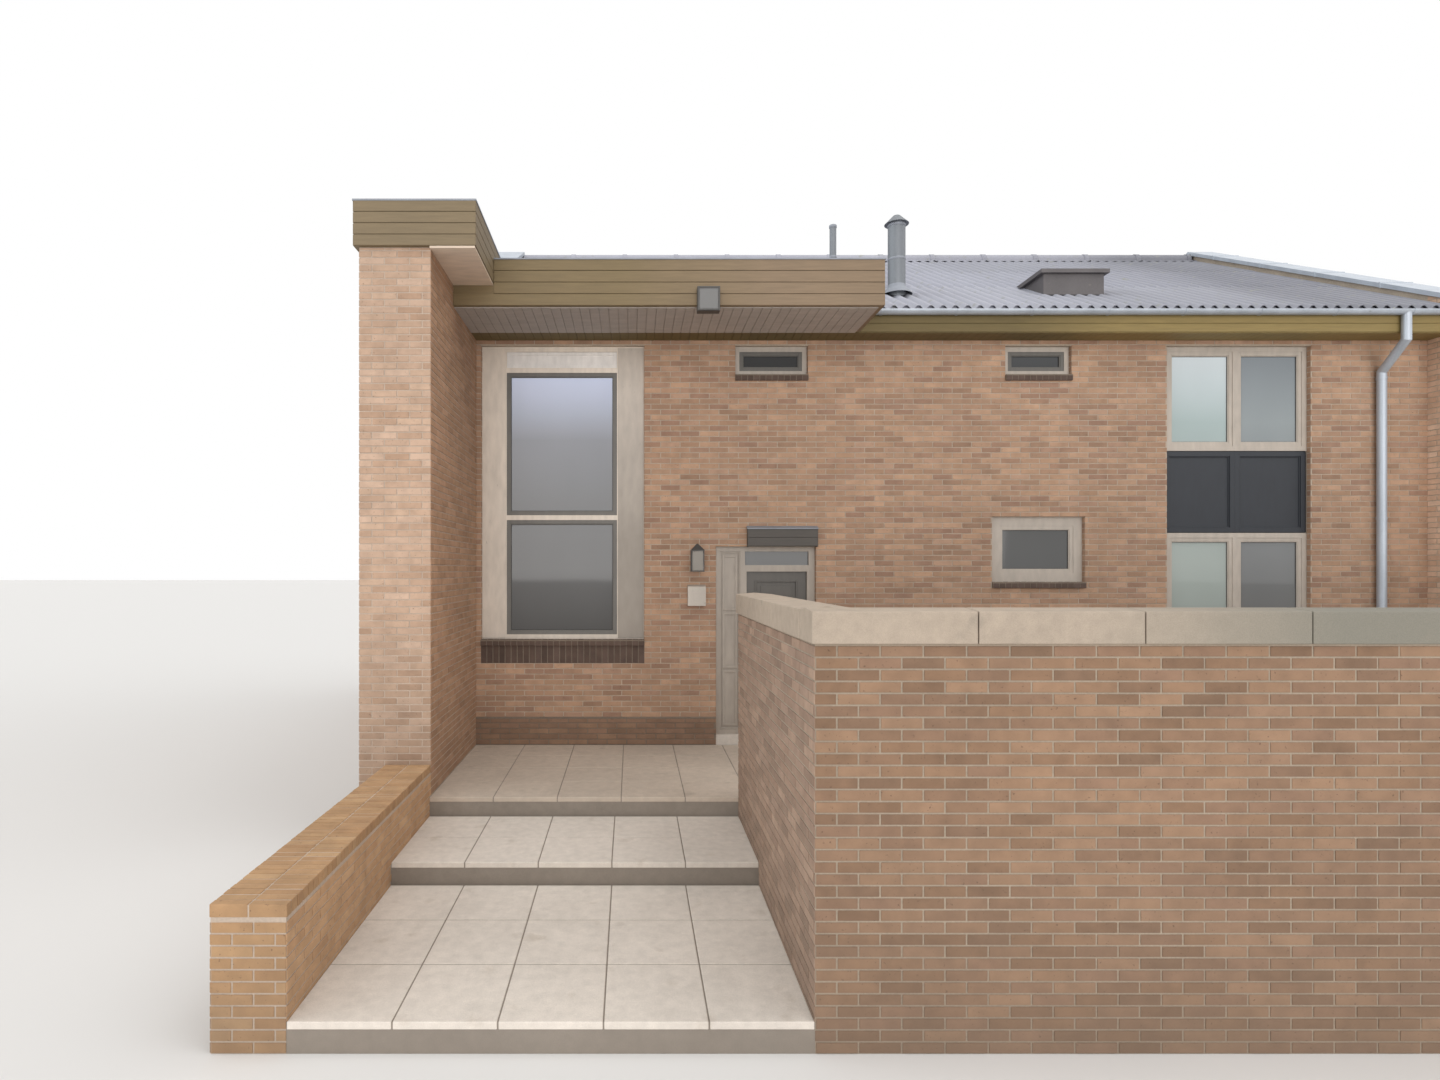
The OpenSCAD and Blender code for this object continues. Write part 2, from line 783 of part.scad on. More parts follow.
// The frame's outer part stands 20 mm further in, as the stop that the leaf shuts against
stop_w = 20;
door_z0 = landing_z + threshold_h;
door_z1 = landing_z + door_head;
leaf_y1 = reveal + frame_d;
leaf_y0 = leaf_y1 - leaf_t;
stop_y = leaf_y0 - leaf_gap;
side_x0 = door_x0 + frame_w;
side_x1 = side_x0 + side_panel_w;
bay_x0 = side_x1 + frame_w;
bay_x1 = door_x1 - hinge_jamb_w;
leaf_x0 = bay_x0 + leaf_gap;
leaf_x1 = bay_x1 - leaf_gap;
transom_z = door_z1 - frame_w - transom_h;
leaf_z0 = door_z0 + leaf_gap;
leaf_z1 = transom_z - frame_w - leaf_gap;

module door_frame() {
    color(joinery) {
        difference() {
            span([door_x0, reveal, door_z0], [door_x1, leaf_y1, door_z1]);
            span([side_x0, 0, door_z0 + frame_w], [side_x1, wall_t, door_z1 - frame_w]);
            span([bay_x0 + stop_w, 0, door_z0 - 1],
                [bay_x1 - stop_w, wall_t, transom_z - frame_w - stop_w]);
            span([bay_x0, stop_y, door_z0 - 1], [bay_x1, wall_t, transom_z - frame_w]);
            span([bay_x0, 0, transom_z], [bay_x1, wall_t, door_z1 - frame_w]);
        }
        span([side_x0, reveal + (frame_d - side_panel_t) / 2, door_z0 + frame_w],
            [side_x1, reveal + (frame_d + side_panel_t) / 2, door_z1 - frame_w]);
    }
}

module door_transom_glass() {
    pane_y = reveal + (frame_d - glass_t) / 2;
    color(pane) span([bay_x0, pane_y, transom_z], [bay_x1, pane_y + glass_t, door_z1 - frame_w]);
}

// A boarded hood with a weathered top, over the leaf and its hinge jamb
module door_hood() {
    color(timber) along_x(bay_x0 + stop_w, door_x1, [[0, door_z1], [-hood_out, door_z1],
        [-hood_out, door_z1 + hood_h - hood_out / 2], [0, door_z1 + hood_h]]);
}

// The leaf has three sunk panels on its outer face, as wide as the stiles allow
leaf_stile = 130;
panel_n = 3;
panel_sunk = 12;

module entrance_door() {
    panel_pitch = (leaf_z1 - leaf_z0 - leaf_stile) / panel_n;
    color(slate_blue) difference() {
        span([leaf_x0, leaf_y0, leaf_z0], [leaf_x1, leaf_y1, leaf_z1]);
        for (i = [0:panel_n - 1])
            translate([0, 0, leaf_z0 + leaf_stile + i * panel_pitch])
                span([leaf_x0 + leaf_stile, leaf_y0 - 1, 0],
                    [leaf_x1 - leaf_stile, leaf_y0 + panel_sunk, panel_pitch - leaf_stile]);
    }
}

// Lever handles on both faces: a round rose, a neck and a lever
handle_x = leaf_x0 + leaf_stile / 2;
handle_z = leaf_z0 + 1000;
rose_r = 26;
neck_r = 9;
neck_l = 45;
lever_l = 120;

module lever_handle() {
    rotate([90, 0, 0]) cylinder(h = 8, r = rose_r);
    rotate([90, 0, 0]) cylinder(h = neck_l, r = neck_r);
    translate([0, -neck_l, 0]) sphere(r = neck_r);
    translate([0, -neck_l, 0]) rotate([0, 90, 0]) cylinder(h = lever_l, r = neck_r);
    translate([lever_l, -neck_l, 0]) sphere(r = neck_r);
}

module door_handle() {
    color(zinc) {
        translate([handle_x, leaf_y0, handle_z]) lever_handle();
        translate([handle_x, leaf_y1, handle_z]) mirror([0, 1, 0]) lever_handle();
    }
}

// Hinge knuckles on the inner face, over the gap between leaf and frame
hinge_x = leaf_x1 + leaf_gap / 2;
hinge_y = leaf_y1 + knuckle_r;
knuckle_l = 100;
hinge_n = 3;

module door_hinges() {
    hinge_pitch = (leaf_z1 - leaf_z0 - 2 * leaf_stile - knuckle_l) / (hinge_n - 1);
    color(zinc) for (i = [0:hinge_n - 1])
        translate([hinge_x, hinge_y, leaf_z0 + leaf_stile + i * hinge_pitch]) {
            cylinder(h = knuckle_l, r = knuckle_r);
            span([-knuckle_r - 30, -knuckle_r, 0], [0, 3 - knuckle_r, knuckle_l]);
        }
}

// Cuts whatever is below the crests of the front slope
module stands_on_roof() {
    crest = crest_v + seat_gap;
    difference() {
        children();
        along_x(0, total_w, [[-eaves_out, 0], [ridge_y, 0], [ridge_y, top_z(ridge_y) + crest],
            [-eaves_out, top_z(-eaves_out) + crest]]);
    }
}

flue_y = 500;
vent_y = 1000;
cowl_y = 450;
cowl_d = 600;

module roof_pipes() {
    color([0.48, 0.49, 0.52]) stands_on_roof() {
        translate([in_x + flue_x, flue_y, top_z(flue_y) - flue_r]) {
            cylinder(h = flue_h + flue_r, r = flue_r);
            translate([0, 0, flue_h + flue_r]) cylinder(h = flue_r, r1 = 1.4 * flue_r, r2 = vent_r);
        }
        translate([in_x + vent_x, vent_y, top_z(vent_y) - vent_r])
            cylinder(h = vent_h + vent_r, r = vent_r);
    }
}

module roof_cowl() {
    lid_out = 50;
    lid_z = top_z(cowl_y + cowl_d / 2) + cowl_h / 2;
    color([0.44, 0.42, 0.42]) stands_on_roof() translate([in_x + cowl_x - cowl_w / 2, cowl_y, 0]) {
        span([0, 0, landing_z], [cowl_w, cowl_d, lid_z]);
        translate([0, 0, lid_z]) span([-lid_out, -lid_out, 0],
            [cowl_w + lid_out, cowl_d + lid_out, lid_out]);
    }
}

// A wall lantern: back plate, arm, glazed box and a pitched hat
lantern_x = door_x0 - lantern_off;
lantern_z = landing_z + 2270;
lantern_h = 260;
lantern_arm = 90;

module wall_lantern() {
    half = lantern_w / 2;
    color([0.24, 0.23, 0.22]) translate([lantern_x, 0, lantern_z]) {
        span([-half / 2, -12, -half], [half / 2, 0, lantern_h / 2]);
        span([-neck_r, -lantern_arm, -neck_r], [neck_r, -12, neck_r]);
        translate([0, -lantern_arm - half, -lantern_h / 2])
            span([-half, -half, 0], [half, half, lantern_h]);
        translate([0, -lantern_arm - half, lantern_h / 2]) rotate([0, 0, 45])
            cylinder(h = half, r1 = half * sqrt(2), r2 = neck_r, $fn = 4);
    }
}

// A letter box with a sloped lid and a raised flap, under the lantern
letter_box_z = landing_z + 1720;
flap_h = 45;
flap_t = 4;

module letter_box() {
    color([0.74, 0.71, 0.67]) translate([lantern_x - box_w / 2, 0, letter_box_z]) {
        along_x(0, box_w, [[0, 0], [-box_d, 0], [-box_d, box_h - box_d / 4], [0, box_h]]);
        span([box_w / 10, -box_d - flap_t, box_h - box_d / 4 - 2 * flap_h],
            [box_w - box_w / 10, -box_d, box_h - box_d / 4 - flap_h]);
    }
}

// A small floodlight on the canopy's fascia
flood_x = in_x + flood_off;
flood_w = 240;
flood_h = 260;
flood_d = 110;

module canopy_floodlight() {
    color([0.30, 0.29, 0.29]) translate([flood_x, -canopy_out, soffit_z])
        span([0, -flood_d, -flood_h / 3], [flood_w, 0, 2 * flood_h / 3]);
}

module placed() {
    translate([-total_w / 2, -centre_y, 0]) children();
}

placed() left_party_wall();
placed() right_party_wall();
placed() front_wall_stair_bay();
placed() front_wall_over_door();
placed() front_wall_kitchen_bay();
placed() front_wall_window_bay();
placed() rear_wall();
placed() front_plinth();
placed() ground_floor();
placed() upper_floor();
placed() entrance_landing();
placed() middle_step();
placed() lower_step();
placed() low_wall();
placed() low_wall_capping();
placed() garden_wall_front();
placed() garden_wall_return();
placed() garden_wall_side();
placed() garden_coping();
placed() front_roof_slope();
placed() rear_roof_slope();
placed() ridge_capping();
placed() front_eaves();
placed() rear_eaves();
placed() canopy_fascia();
placed() canopy_soffit();
placed() canopy_deck();
placed() canopy_joists();
placed() front_gutter();
placed() rear_gutter();
placed() front_downpipe();
placed() rear_downpipe();
placed() fin_verge_box();
placed() fin_verge_soffit();
placed() left_party_coping();
placed() right_party_coping();
placed() tall_window_frame();
placed() tall_window_head_board();
placed() small_window_frames();
placed() stacked_window_frames();
placed() spandrel_panel();
placed() front_window_glass();
placed() rear_window_frames();
placed() rear_window_glass();
placed() window_sills();
placed() door_threshold();
placed() door_frame();
placed() door_transom_glass();
placed() door_hood();
placed() entrance_door();
placed() door_handle();
placed() door_hinges();
placed() roof_pipes();
placed() roof_cowl();
placed() wall_lantern();
placed() letter_box();
placed() canopy_floodlight();
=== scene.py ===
import math
import random

import bpy
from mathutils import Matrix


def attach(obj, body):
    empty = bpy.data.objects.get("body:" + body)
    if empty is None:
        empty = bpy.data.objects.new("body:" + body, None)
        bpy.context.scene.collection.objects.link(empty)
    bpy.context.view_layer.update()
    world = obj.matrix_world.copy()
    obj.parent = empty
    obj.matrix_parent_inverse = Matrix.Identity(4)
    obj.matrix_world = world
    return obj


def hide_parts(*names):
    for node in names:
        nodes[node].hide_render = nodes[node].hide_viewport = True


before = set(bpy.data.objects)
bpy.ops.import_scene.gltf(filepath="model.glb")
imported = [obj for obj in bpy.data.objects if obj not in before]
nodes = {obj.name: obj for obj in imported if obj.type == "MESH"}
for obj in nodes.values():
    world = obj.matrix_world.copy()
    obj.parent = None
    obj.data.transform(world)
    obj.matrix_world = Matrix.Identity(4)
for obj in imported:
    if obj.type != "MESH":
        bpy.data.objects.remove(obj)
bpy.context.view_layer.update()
rnd = random.Random(11)

# Millimetres from the house's own corner, as in the part's source. OX and OY are the row
# frame's origin.
OX, OY = 6390.0, 1692.5

# Inner faces of the party walls, the whole width, the rear face, and how far the party
# walls stand out behind it and in front of the right end
IN_X, END_X, TOTAL_W = 680, 12430, 12780
DEPTH, WING = 8400, 450
REAR_END = DEPTH + WING

# Landing, ground floor, upper floor, window heads, eaves' underside and the fin's head
LAND_Z, GROUND_Z, UPPER_Z = 525, 645, 3305
TOP_Z, SOFFIT_Z, FIN_Z = 5455, 5525, 5765
PLINTH_Y, PLINTH_Z = -20, LAND_Z + 330

# Garden walls, their coping, the steps and the low wall
GARDEN_Y, GARDEN_T, GARDEN_Z, COPING_H = -5440, 290, 2275, 195
RETURN_X, LAND_X1, LAND_Y, MID_Y = 3616, 4930, -2290, -3500
MID_Z, LOW_STEP_Z = 350, 175
LOW_X, LOW_Z = 260, 755

# Roof: its slope, thickness, overhang, ridge, ribs, and the party walls' upstand
PITCH_ANGLE = math.radians(27)
RISE = math.tan(PITCH_ANGLE)
ROOF_V = 200 / math.cos(PITCH_ANGLE)
CREST = 42 / math.cos(PITCH_ANGLE)
EAVES, RIDGE_Y, UPSTAND = 300, 4200, 120
RIBS = (END_X - IN_X) // 146
PITCH = (END_X - IN_X) / RIBS

# Openings as (x0, x1, z0, z1), and the fixed parts of their frames
REVEAL, SILL_H, FRAME_W = 60, 70, 60
DOOR_X0, DOOR_X1, DOOR_HEAD = 3640, 4880, 2975
LEAF_X0, LEAF_X1, SIDE_X0, SIDE_X1 = 4018, 4792, 3700, 3950
DOOR = (DOOR_X0, DOOR_X1, 0, DOOR_HEAD)
TALL = (740, 2760, 1755, TOP_Z)
TALL_X0, TALL_X1 = 1050, 2420
TALL_LIGHTS = ((1885, UPPER_Z), (UPPER_Z + FRAME_W, 5135))
APRON_H = 222
OVER_DOOR = (3880, 4780, 5025, TOP_Z)
BATH = (7215, 8035, 5025, TOP_Z)
KITCHEN = (7050, 8200, 2465, 3345)
KITCHEN_FRAME = 110
STACK = (9210, 10990, 1855, TOP_Z)
STACK_LIGHTS = ((1925, 3145), (4165, TOP_Z))
BAY, REAR_W, REAR_H = 2937.5, 1500, 1250
REAR = [(IN_X + BAY * (i + 0.5) - REAR_W / 2, IN_X + BAY * (i + 0.5) + REAR_W / 2, z - REAR_H, z)
        for i in range(4) for z in (DOOR_HEAD, TOP_Z)]

# The boxed verge on the fin, and the canopy
VERGE_X, VERGE_Z = IN_X + 430, FIN_Z + 430
CAN_X1, CAN_Y, CAN_Z = 5310, -1280, SOFFIT_Z + 500


def at(x, y, z):
    """A place in the row frame, in metres."""
    return ((x - OX) / 1000, (y - OY) / 1000, z / 1000)


def under_z(y):
    """The roof's underside."""
    return SOFFIT_Z + 60 + (min(y, DEPTH - y) + EAVES) * RISE


def top_z(y):
    """The roof's upper side, between the ribs."""
    return under_z(y) + ROOF_V


def crown_z(y):
    """The party walls' heads, under their copings."""
    return top_z(y) + UPSTAND


FIN_Y, MEET_Y = -2240, (FIN_Z - crown_z(0)) / RISE


def fin_top(y):
    """The left party wall's head, level over the fin and then with the roof's slope."""
    return FIN_Z if y < MEET_Y else crown_z(y)


def units(a, b, length):
    """A run split into equal parts of about this length."""
    n = max(1, round((b - a) / length))
    return [(a + (b - a) * i / n, a + (b - a) * (i + 1) / n) for i in range(n)]


# Materials
X, Z = 0, 2
EVEN = (1, 1, 1)
BOARD_GRAIN, SOFFIT_GRAIN = (0.25, 1, 3.0), (0.3, 1, 2.0)
UPRIGHT_GRAIN = (1, 1, 0.3)


def linear(text):
    """A written sRGB colour in Blender's linear values."""
    out = []
    for i in (0, 2, 4):
        c = int(text[i:i + 2], 16) / 255
        out.append(c / 12.92 if c <= 0.04045 else ((c + 0.055) / 1.055) ** 2.4)
    return tuple(out) + (1.0,)


class Mat:
    """A node material, built up step by step on a colour socket."""

    def __init__(self, name, colour, rough=0.8, metal=0.0):
        """One colour, or a list of tones of which each loose part of a mesh takes its own."""
        self.m = bpy.data.materials.new(name)
        self.m.use_nodes = True
        self.t = self.m.node_tree
        self.bsdf = self.t.nodes["Principled BSDF"]
        self.bsdf.inputs["Roughness"].default_value = rough
        self.bsdf.inputs["Metallic"].default_value = metal
        self.coord = self.new("ShaderNodeTexCoord").outputs["Object"]
        if isinstance(colour, str):
            node = self.new("ShaderNodeRGB")
            node.outputs[0].default_value = linear(colour)
            self.c = node.outputs[0]
        else:
            geo = self.new("ShaderNodeNewGeometry")
            self.c = self.tones(geo.outputs["Random Per Island"], colour)
        self.height = None

    def new(self, kind, **inputs):
        node = self.t.nodes.new(kind)
        for name, value in inputs.items():
            node.inputs[name].default_value = value
        return node

    def link(self, a, b):
        self.t.links.new(a, b)

    def ramp(self, fac, stops):
        """A colour ramp over (place, written colour or grey value)."""
        node = self.t.nodes.new("ShaderNodeValToRGB")
        elements = node.color_ramp.elements
        while len(elements) < len(stops):
            elements.new(0.5)
        for element, (place, c) in zip(elements, stops):
            element.position = place
            element.color = linear(c) if isinstance(c, str) else (c, c, c, 1)
        self.link(fac, node.inputs[0])
        return node.outputs[0]

    def tones(self, fac, colours):
        """A colour ramp with its colours evenly spread."""
        return self.ramp(fac, [(i / (len(colours) - 1), c) for i, c in enumerate(colours)])

    def mix(self, fac, colour, kind="MIX"):
        """Mixes a colour into the one so far. Both values are numbers or sockets."""
        node = self.t.nodes.new("ShaderNodeMix")
        node.data_type, node.blend_type = "RGBA", kind
        for value, socket in ((fac, node.inputs[0]), (colour, node.inputs[7])):
            if isinstance(value, bpy.types.NodeSocket):
                self.link(value, socket)
            else:
                socket.default_value = value
        self.link(self.c, node.inputs[6])
        self.c = node.outputs[2]
        return self

    def noise(self, scale, detail=3.0, stretch=EVEN):
        mapping = self.new("ShaderNodeMapping", Scale=stretch)
        self.link(self.coord, mapping.inputs[0])
        node = self.new("ShaderNodeTexNoise", Scale=scale, Detail=detail)
        self.link(mapping.outputs[0], node.inputs["Vector"])
        return node.outputs[0]

    def place(self, axis):
        """One of the coordinates, in metres."""
        sep = self.new("ShaderNodeSeparateXYZ")
        self.link(self.coord, sep.inputs[0])
        return sep.outputs[axis]

    def uneven(self, value, sway, scale):
        """A value with noise of this size added, 0 to sway."""
        node = self.new("ShaderNodeMath")
        node.operation = "MULTIPLY_ADD"
        self.link(self.noise(scale, 4.0), node.inputs[0])
        node.inputs[1].default_value = sway
        self.link(value, node.inputs[2])
        return node.outputs[0]

    def span(self, value, start, end, first=0.0, last=1.0):
        """Goes from first to last as the value goes from start to end, and stays there."""
        node = self.new("ShaderNodeMapRange")
        for i, v in enumerate((start, end, first, last), 1):
            node.inputs[i].default_value = v
        self.link(value, node.inputs[0])
        return node.outputs[0]

    def along(self, axis, start, end, sway=0.6):
        """0 to 1 between two places along an axis in metres, unevenly."""
        return self.span(self.uneven(self.place(axis), sway, 1.6), start + sway / 2, end + sway / 2)

    def tint(self, fac, low, high, lo_at=0.3, hi_at=0.7):
        """Multiplies the colour by low to high as fac goes from lo_at to hi_at."""
        return self.mix(1.0, self.ramp(fac, [(lo_at, low), (hi_at, high)]), "MULTIPLY")

    def fade(self, axis, start, end, low, high, sway=0.6):
        """Multiplies the colour by low to high between two places along an axis."""
        return self.tint(self.along(axis, start, end, sway), low, high, 0.0, 1.0)

    def stain(self, fac, colour, lo_at=0.0, hi_at=1.0):
        """Mixes in a colour as fac goes from lo_at to hi_at."""
        return self.mix(self.ramp(fac, [(lo_at, 0.0), (hi_at, 1.0)]), linear(colour))

    def blend(self, axis, start, end, colour):
        """Mixes in a colour between two places along an axis."""
        return self.stain(self.along(axis, start, end), colour)

    def rise(self, low, high, dark, colour="6a5a4c"):
        """A darker band that fades out between two heights in metres: ground damp, and painted
        shade at the foot of the garden wall, the low wall's side and the risers.
        """
        height = self.uneven(self.place(Z), 0.5, 2.2)
        return self.mix(self.span(height, low + 0.25, high + 0.25, dark, 0.0), linear(colour))

    def bump(self, fac, strength, distance=0.004):
        node = self.new("ShaderNodeBump", Strength=strength, Distance=distance)
        self.link(fac, node.inputs["Height"])
        if self.height is not None:
            self.link(self.height, node.inputs["Normal"])
        self.height = node.outputs[0]
        return self

    def done(self):
        self.link(self.c, self.bsdf.inputs["Base Color"])
        self.link(self.height, self.bsdf.inputs["Normal"])
        return self.m


BRICK_ROUGH = 0.88


def brickwork(m, low=0.0, damp=0.0, reach=0.75, foot=0.0):
    """Fired clay. The damp reaches up from low, and foot is a painted contact shadow right above
    it.
    """
    m.tint(m.noise(0.55, 3.0), 0.90, 1.07).tint(m.noise(9.0, 4.0), 0.86, 1.10)
    m.stain(m.noise(55.0, 3.0), "5b4436", 0.66, 0.80)
    if damp:
        m.rise(low, low + reach, damp)
    if foot:
        m.rise(low, low + 0.25, foot)
    return m.bump(m.noise(130.0, 5.0), 0.55, 0.003).bump(m.noise(24.0, 3.0), 0.35, 0.004).done()


def mortar_of(name, colour, damp=0.0):
    m = Mat(name, colour, 0.95)
    m.tint(m.noise(3.0, 5.0), 0.86, 1.08).tint(m.noise(60.0, 3.0), 0.88, 1.06)
    if damp:
        m.rise(0.0, 0.75, damp)
    return m.bump(m.noise(240.0, 4.0), 0.6, 0.002).done()


def masonry(name, colour, damp=0.0, spots="6f665a", side=None):
    """Concrete or screed. side is a colour mixed in along x, as (start, end, colour)."""
    m = Mat(name, colour, 0.85)
    m.tint(m.noise(0.9, 5.0), 0.90, 1.06).tint(m.noise(14.0, 5.0), 0.92, 1.06)
    if side:
        m.blend(X, *side)
    m.stain(m.noise(5.0, 6.0), spots, 0.62, 0.86).tint(m.noise(220.0, 2.0), 0.88, 1.05)
    if damp:
        m.rise(0.0, 0.5, damp, "7c7268")
    return m.bump(m.noise(260.0, 4.0), 0.4, 0.002).bump(m.noise(30.0, 4.0), 0.25, 0.004).done()


def painted(m, grain=EVEN, wear="8a8073", foot=None, cloudy=True):
    """Painted or oiled wood. foot darkens it towards the bottom, as the arguments of rise."""
    m.tint(m.noise(16.0, 5.0, grain), 0.90, 1.06)
    if cloudy:
        m.tint(m.noise(1.3, 3.0), 0.94, 1.04)
    m.stain(m.noise(38.0, 6.0, grain), wear, 0.70, 0.84)
    if foot:
        m.rise(*foot)
    return m.bump(m.noise(46.0, 5.0, grain), 0.22, 0.0015).done()


def metalwork(name, colour, rough=0.45, metal=0.4):
    m = Mat(name, colour, rough, metal)
    m.tint(m.noise(5.0, 5.0, (1, 1, 0.25)), 0.88, 1.06).tint(m.noise(60.0, 3.0), 0.94, 1.03)
    m.stain(m.noise(11.0, 6.0), "7a766e", 0.68, 0.85)
    return m.bump(m.noise(90.0, 3.0), 0.12, 0.001).done()


def glazing(name, tones, z0, z1, clear=0.15):
    """Glass with a painted reflection: its tone goes quietly from a reflected street to a reflected
    sky over its height.
    """
    m = Mat(name, tones[0], 0.04)
    m.c = m.tones(m.span(m.place(Z), z0, z1), tones)
    m.tint(m.noise(0.9, 2.0, (1.0, 1.0, 0.5)), 0.92, 1.05)
    m.bsdf.inputs["Transmission Weight"].default_value = clear
    m.bsdf.inputs["IOR"].default_value = 1.45
    return m.bump(m.noise(1.6, 1.0), 0.05, 0.004).done()


def sheeting(name, tones):
    """Fibre cement sheets with lichen, darker towards the right-hand end."""
    m = Mat(name, tones, 0.78)
    m.tint(m.noise(1.1, 5.0, (1, 0.35, 0.35)), 0.90, 1.05)
    m.fade(X, 0.8, 4.6, 1.06, 0.78).fade(X, 3.8, 4.8, 1.0, 0.80)
    m.stain(m.noise(8.0, 7.0), "8f9089", 0.60, 0.80)
    m.stain(m.noise(34.0, 4.0), "a5a58f", 0.68, 0.76)
    return m.bump(m.noise(120.0, 4.0), 0.35, 0.002).done()


HOUSE_TONES = ["957762", "ad8d75", "a5846d", "b9967c", "a8876e", "987865", "b4937c"]
GARDEN_TONES = ["7c634f", "92745f", "8b6e58", "9d7e65", "8e7058", "7f644f", "987a63"]
RETURN_TONES = ["8b7464", "a38978", "9a806f", "ad927f", "9d8270", "8e7767", "a88d7b"]
FIN_TONES = ["b2947e", "c1a48d", "b89a84", "c7ab96", "ae8f78", "bda08a"]
FIN_SIDE_TONES = ["9f7c62", "b08c6f", "a68267", "b89377", "aa856b"]
PLINTH_TONES = ["7f6552", "8e705c", "846854", "987961"]
CAP_TONES = ["a7825e", "b18d68", "ac8863", "b99772"]
LOW_SIDE_TONES = ["b8926f", "c29d79", "bc9773", "cba783"]
WING_TONES = ["caa88f", "dbbaa1", "d1af96", "e1c3ab", "c6a288", "d6b69d"]
SILL_TONES = ["4f4038", "5c4b42", "55453d", "615048"]

# The house brick grows lighter towards the eaves and into the corner by the right-hand wing:
# painted light against the shade there.
BRICK = brickwork(
    Mat("house_brick", HOUSE_TONES, BRICK_ROUGH)
    .fade(Z, 4.7, 5.2, 1.0, 1.10, 0.3).fade(X, 5.1, 5.8, 1.0, 1.12), 0.35, 0.40)
# The garden brick's foot band is a painted contact shadow along the wall's base.
GARDEN_BRICK = brickwork(
    Mat("garden_brick", GARDEN_TONES, BRICK_ROUGH).fade(X, -0.6, 0.7, 1.0, 0.91),
    0.0, 0.44, 1.5, 0.30)
# The return wall's tones are the garden brick made lighter and greyer: painted sky light on its
# side faces.
RETURN_BRICK = brickwork(Mat("return_wall_brick", RETURN_TONES, BRICK_ROUGH), 0.0, 0.45, 0.9)
FIN_BRICK = brickwork(Mat("pale_brick", FIN_TONES, BRICK_ROUGH), 0.4, 0.46, 2.4)
FIN_SIDE_BRICK = brickwork(Mat("fin_side_brick", FIN_SIDE_TONES, BRICK_ROUGH), 0.4, 0.30, 1.2)
PLINTH_BRICK = brickwork(Mat("plinth_brick", PLINTH_TONES, BRICK_ROUGH), 0.35, 0.25)
CAP_BRICK = brickwork(Mat("capping_brick", CAP_TONES, BRICK_ROUGH), 0.0, 0.50, 0.9)
# The low wall's side takes lighter tones than its capping brick, as painted light, and the damp at
# its foot is a painted shadow on the steps.
LOW_SIDE_BRICK = brickwork(Mat("low_wall_side_brick", LOW_SIDE_TONES, BRICK_ROUGH), 0.0, 0.20)
# The wing is pale brick like the fin, made lighter still as painted light on its shaded inner face.
WING_BRICK = brickwork(Mat("wing_brick", WING_TONES, BRICK_ROUGH), 0.4, 0.30, 1.5)
SILL_BRICK = brickwork(Mat("sill_brick", SILL_TONES, BRICK_ROUGH))
MORTAR = mortar_of("mortar", "b7a897", 0.35)
GARDEN_MORTAR = mortar_of("garden_mortar", "a79887", 0.40)
PALE_MORTAR = mortar_of("pale_mortar", "bfae9e", 0.25)
DARK_MORTAR = mortar_of("plinth_mortar", "7d7063")

COPING = masonry("coping_concrete", "b0a191", spots="8f867a", side=(-1.3, 0.2, "848075"))
STEP = masonry("step_concrete", "dbd2c8", spots="b9ad9f")
LANDING = masonry("landing_concrete", "c6b8a9", spots="a5988a")
# The risers' darker tone, darker still towards the ground, is painted shade on the step concrete.
RISER = masonry("riser_concrete", "91887e", 0.60)
SCREED = masonry("inner_floor", "9a8d7c")
SHEETING = sheeting("roof_sheets", ["9b9ca7", "a3a4ae", "9798a2", "a0a1ab"])

TIMBER = painted(
    Mat("brown_boards", "776647", 0.62).blend(X, -3.9, -2.2, "836f58"), BOARD_GRAIN, "6d5c42")
VERGE = painted(Mat("verge_boards", "7a6a50", 0.62), BOARD_GRAIN, "6d5c42")
SOFFIT = painted(Mat("soffit_boards", "ada59e", 0.7), SOFFIT_GRAIN, "7d7266")
# The eaves boards darken from x 2.1 m leftwards to x 0.8 m: painted shade.
EAVES_BOARDS = painted(
    Mat("eaves_boards_paint", "8a7748", 0.66).fade(X, 0.8, 2.1, 0.56, 1.0),
    BOARD_GRAIN, "66573f", cloudy=False)
# The verge soffit's pale tone is partly its own paint and partly painted light on an underside.
PALE_SOFFIT = painted(Mat("verge_soffit", "e0cdba", 0.7), SOFFIT_GRAIN, "a08d78")
HOOD = painted(Mat("hood_boards", "4f4a45", 0.6), BOARD_GRAIN, "3c3833")
JOINERY = painted(Mat("pale_joinery", "b8aea3", 0.45), UPRIGHT_GRAIN)
DOOR_JOINERY = painted(Mat("door_joinery", "a89e93", 0.45), UPRIGHT_GRAIN)
# The left board is the pale joinery made lighter, and lighter still towards its head: painted light
# where the fin and the canopy shade it.
LEFT_BOARD = painted(
    Mat("left_board_paint", "d6cbbe", 0.45).fade(Z, 2.2, 5.2, 0.94, 1.15, 0.3), UPRIGHT_GRAIN)
# The right board lightens towards its head as painted light under the canopy, and is darker lower
# down.
RIGHT_BOARD = painted(
    Mat("right_board_paint", "b8aea3", 0.45).fade(Z, 4.2, 5.2, 1.0, 1.14, 0.3), UPRIGHT_GRAIN,
    foot=(3.0, 4.4, 0.55, "6f675c"))
DARK_SASH = painted(Mat("dark_sash_paint", "67645f", 0.5), UPRIGHT_GRAIN, "55524e")
# The head board's near-white is partly its paint and partly painted light under the canopy.
HEAD_BOARD = painted(Mat("head_board", "ebe7e3", 0.45), (1, 1, 0.4))
DOOR_PAINT = painted(Mat("door_paint", "58544f", 0.38), (1, 1, 0.25), "4b4845")
PANEL = painted(Mat("spandrel_paint", "252930", 0.55), UPRIGHT_GRAIN, "202329")
GASKET = painted(Mat("gasket", "2c2b2a", 0.6))

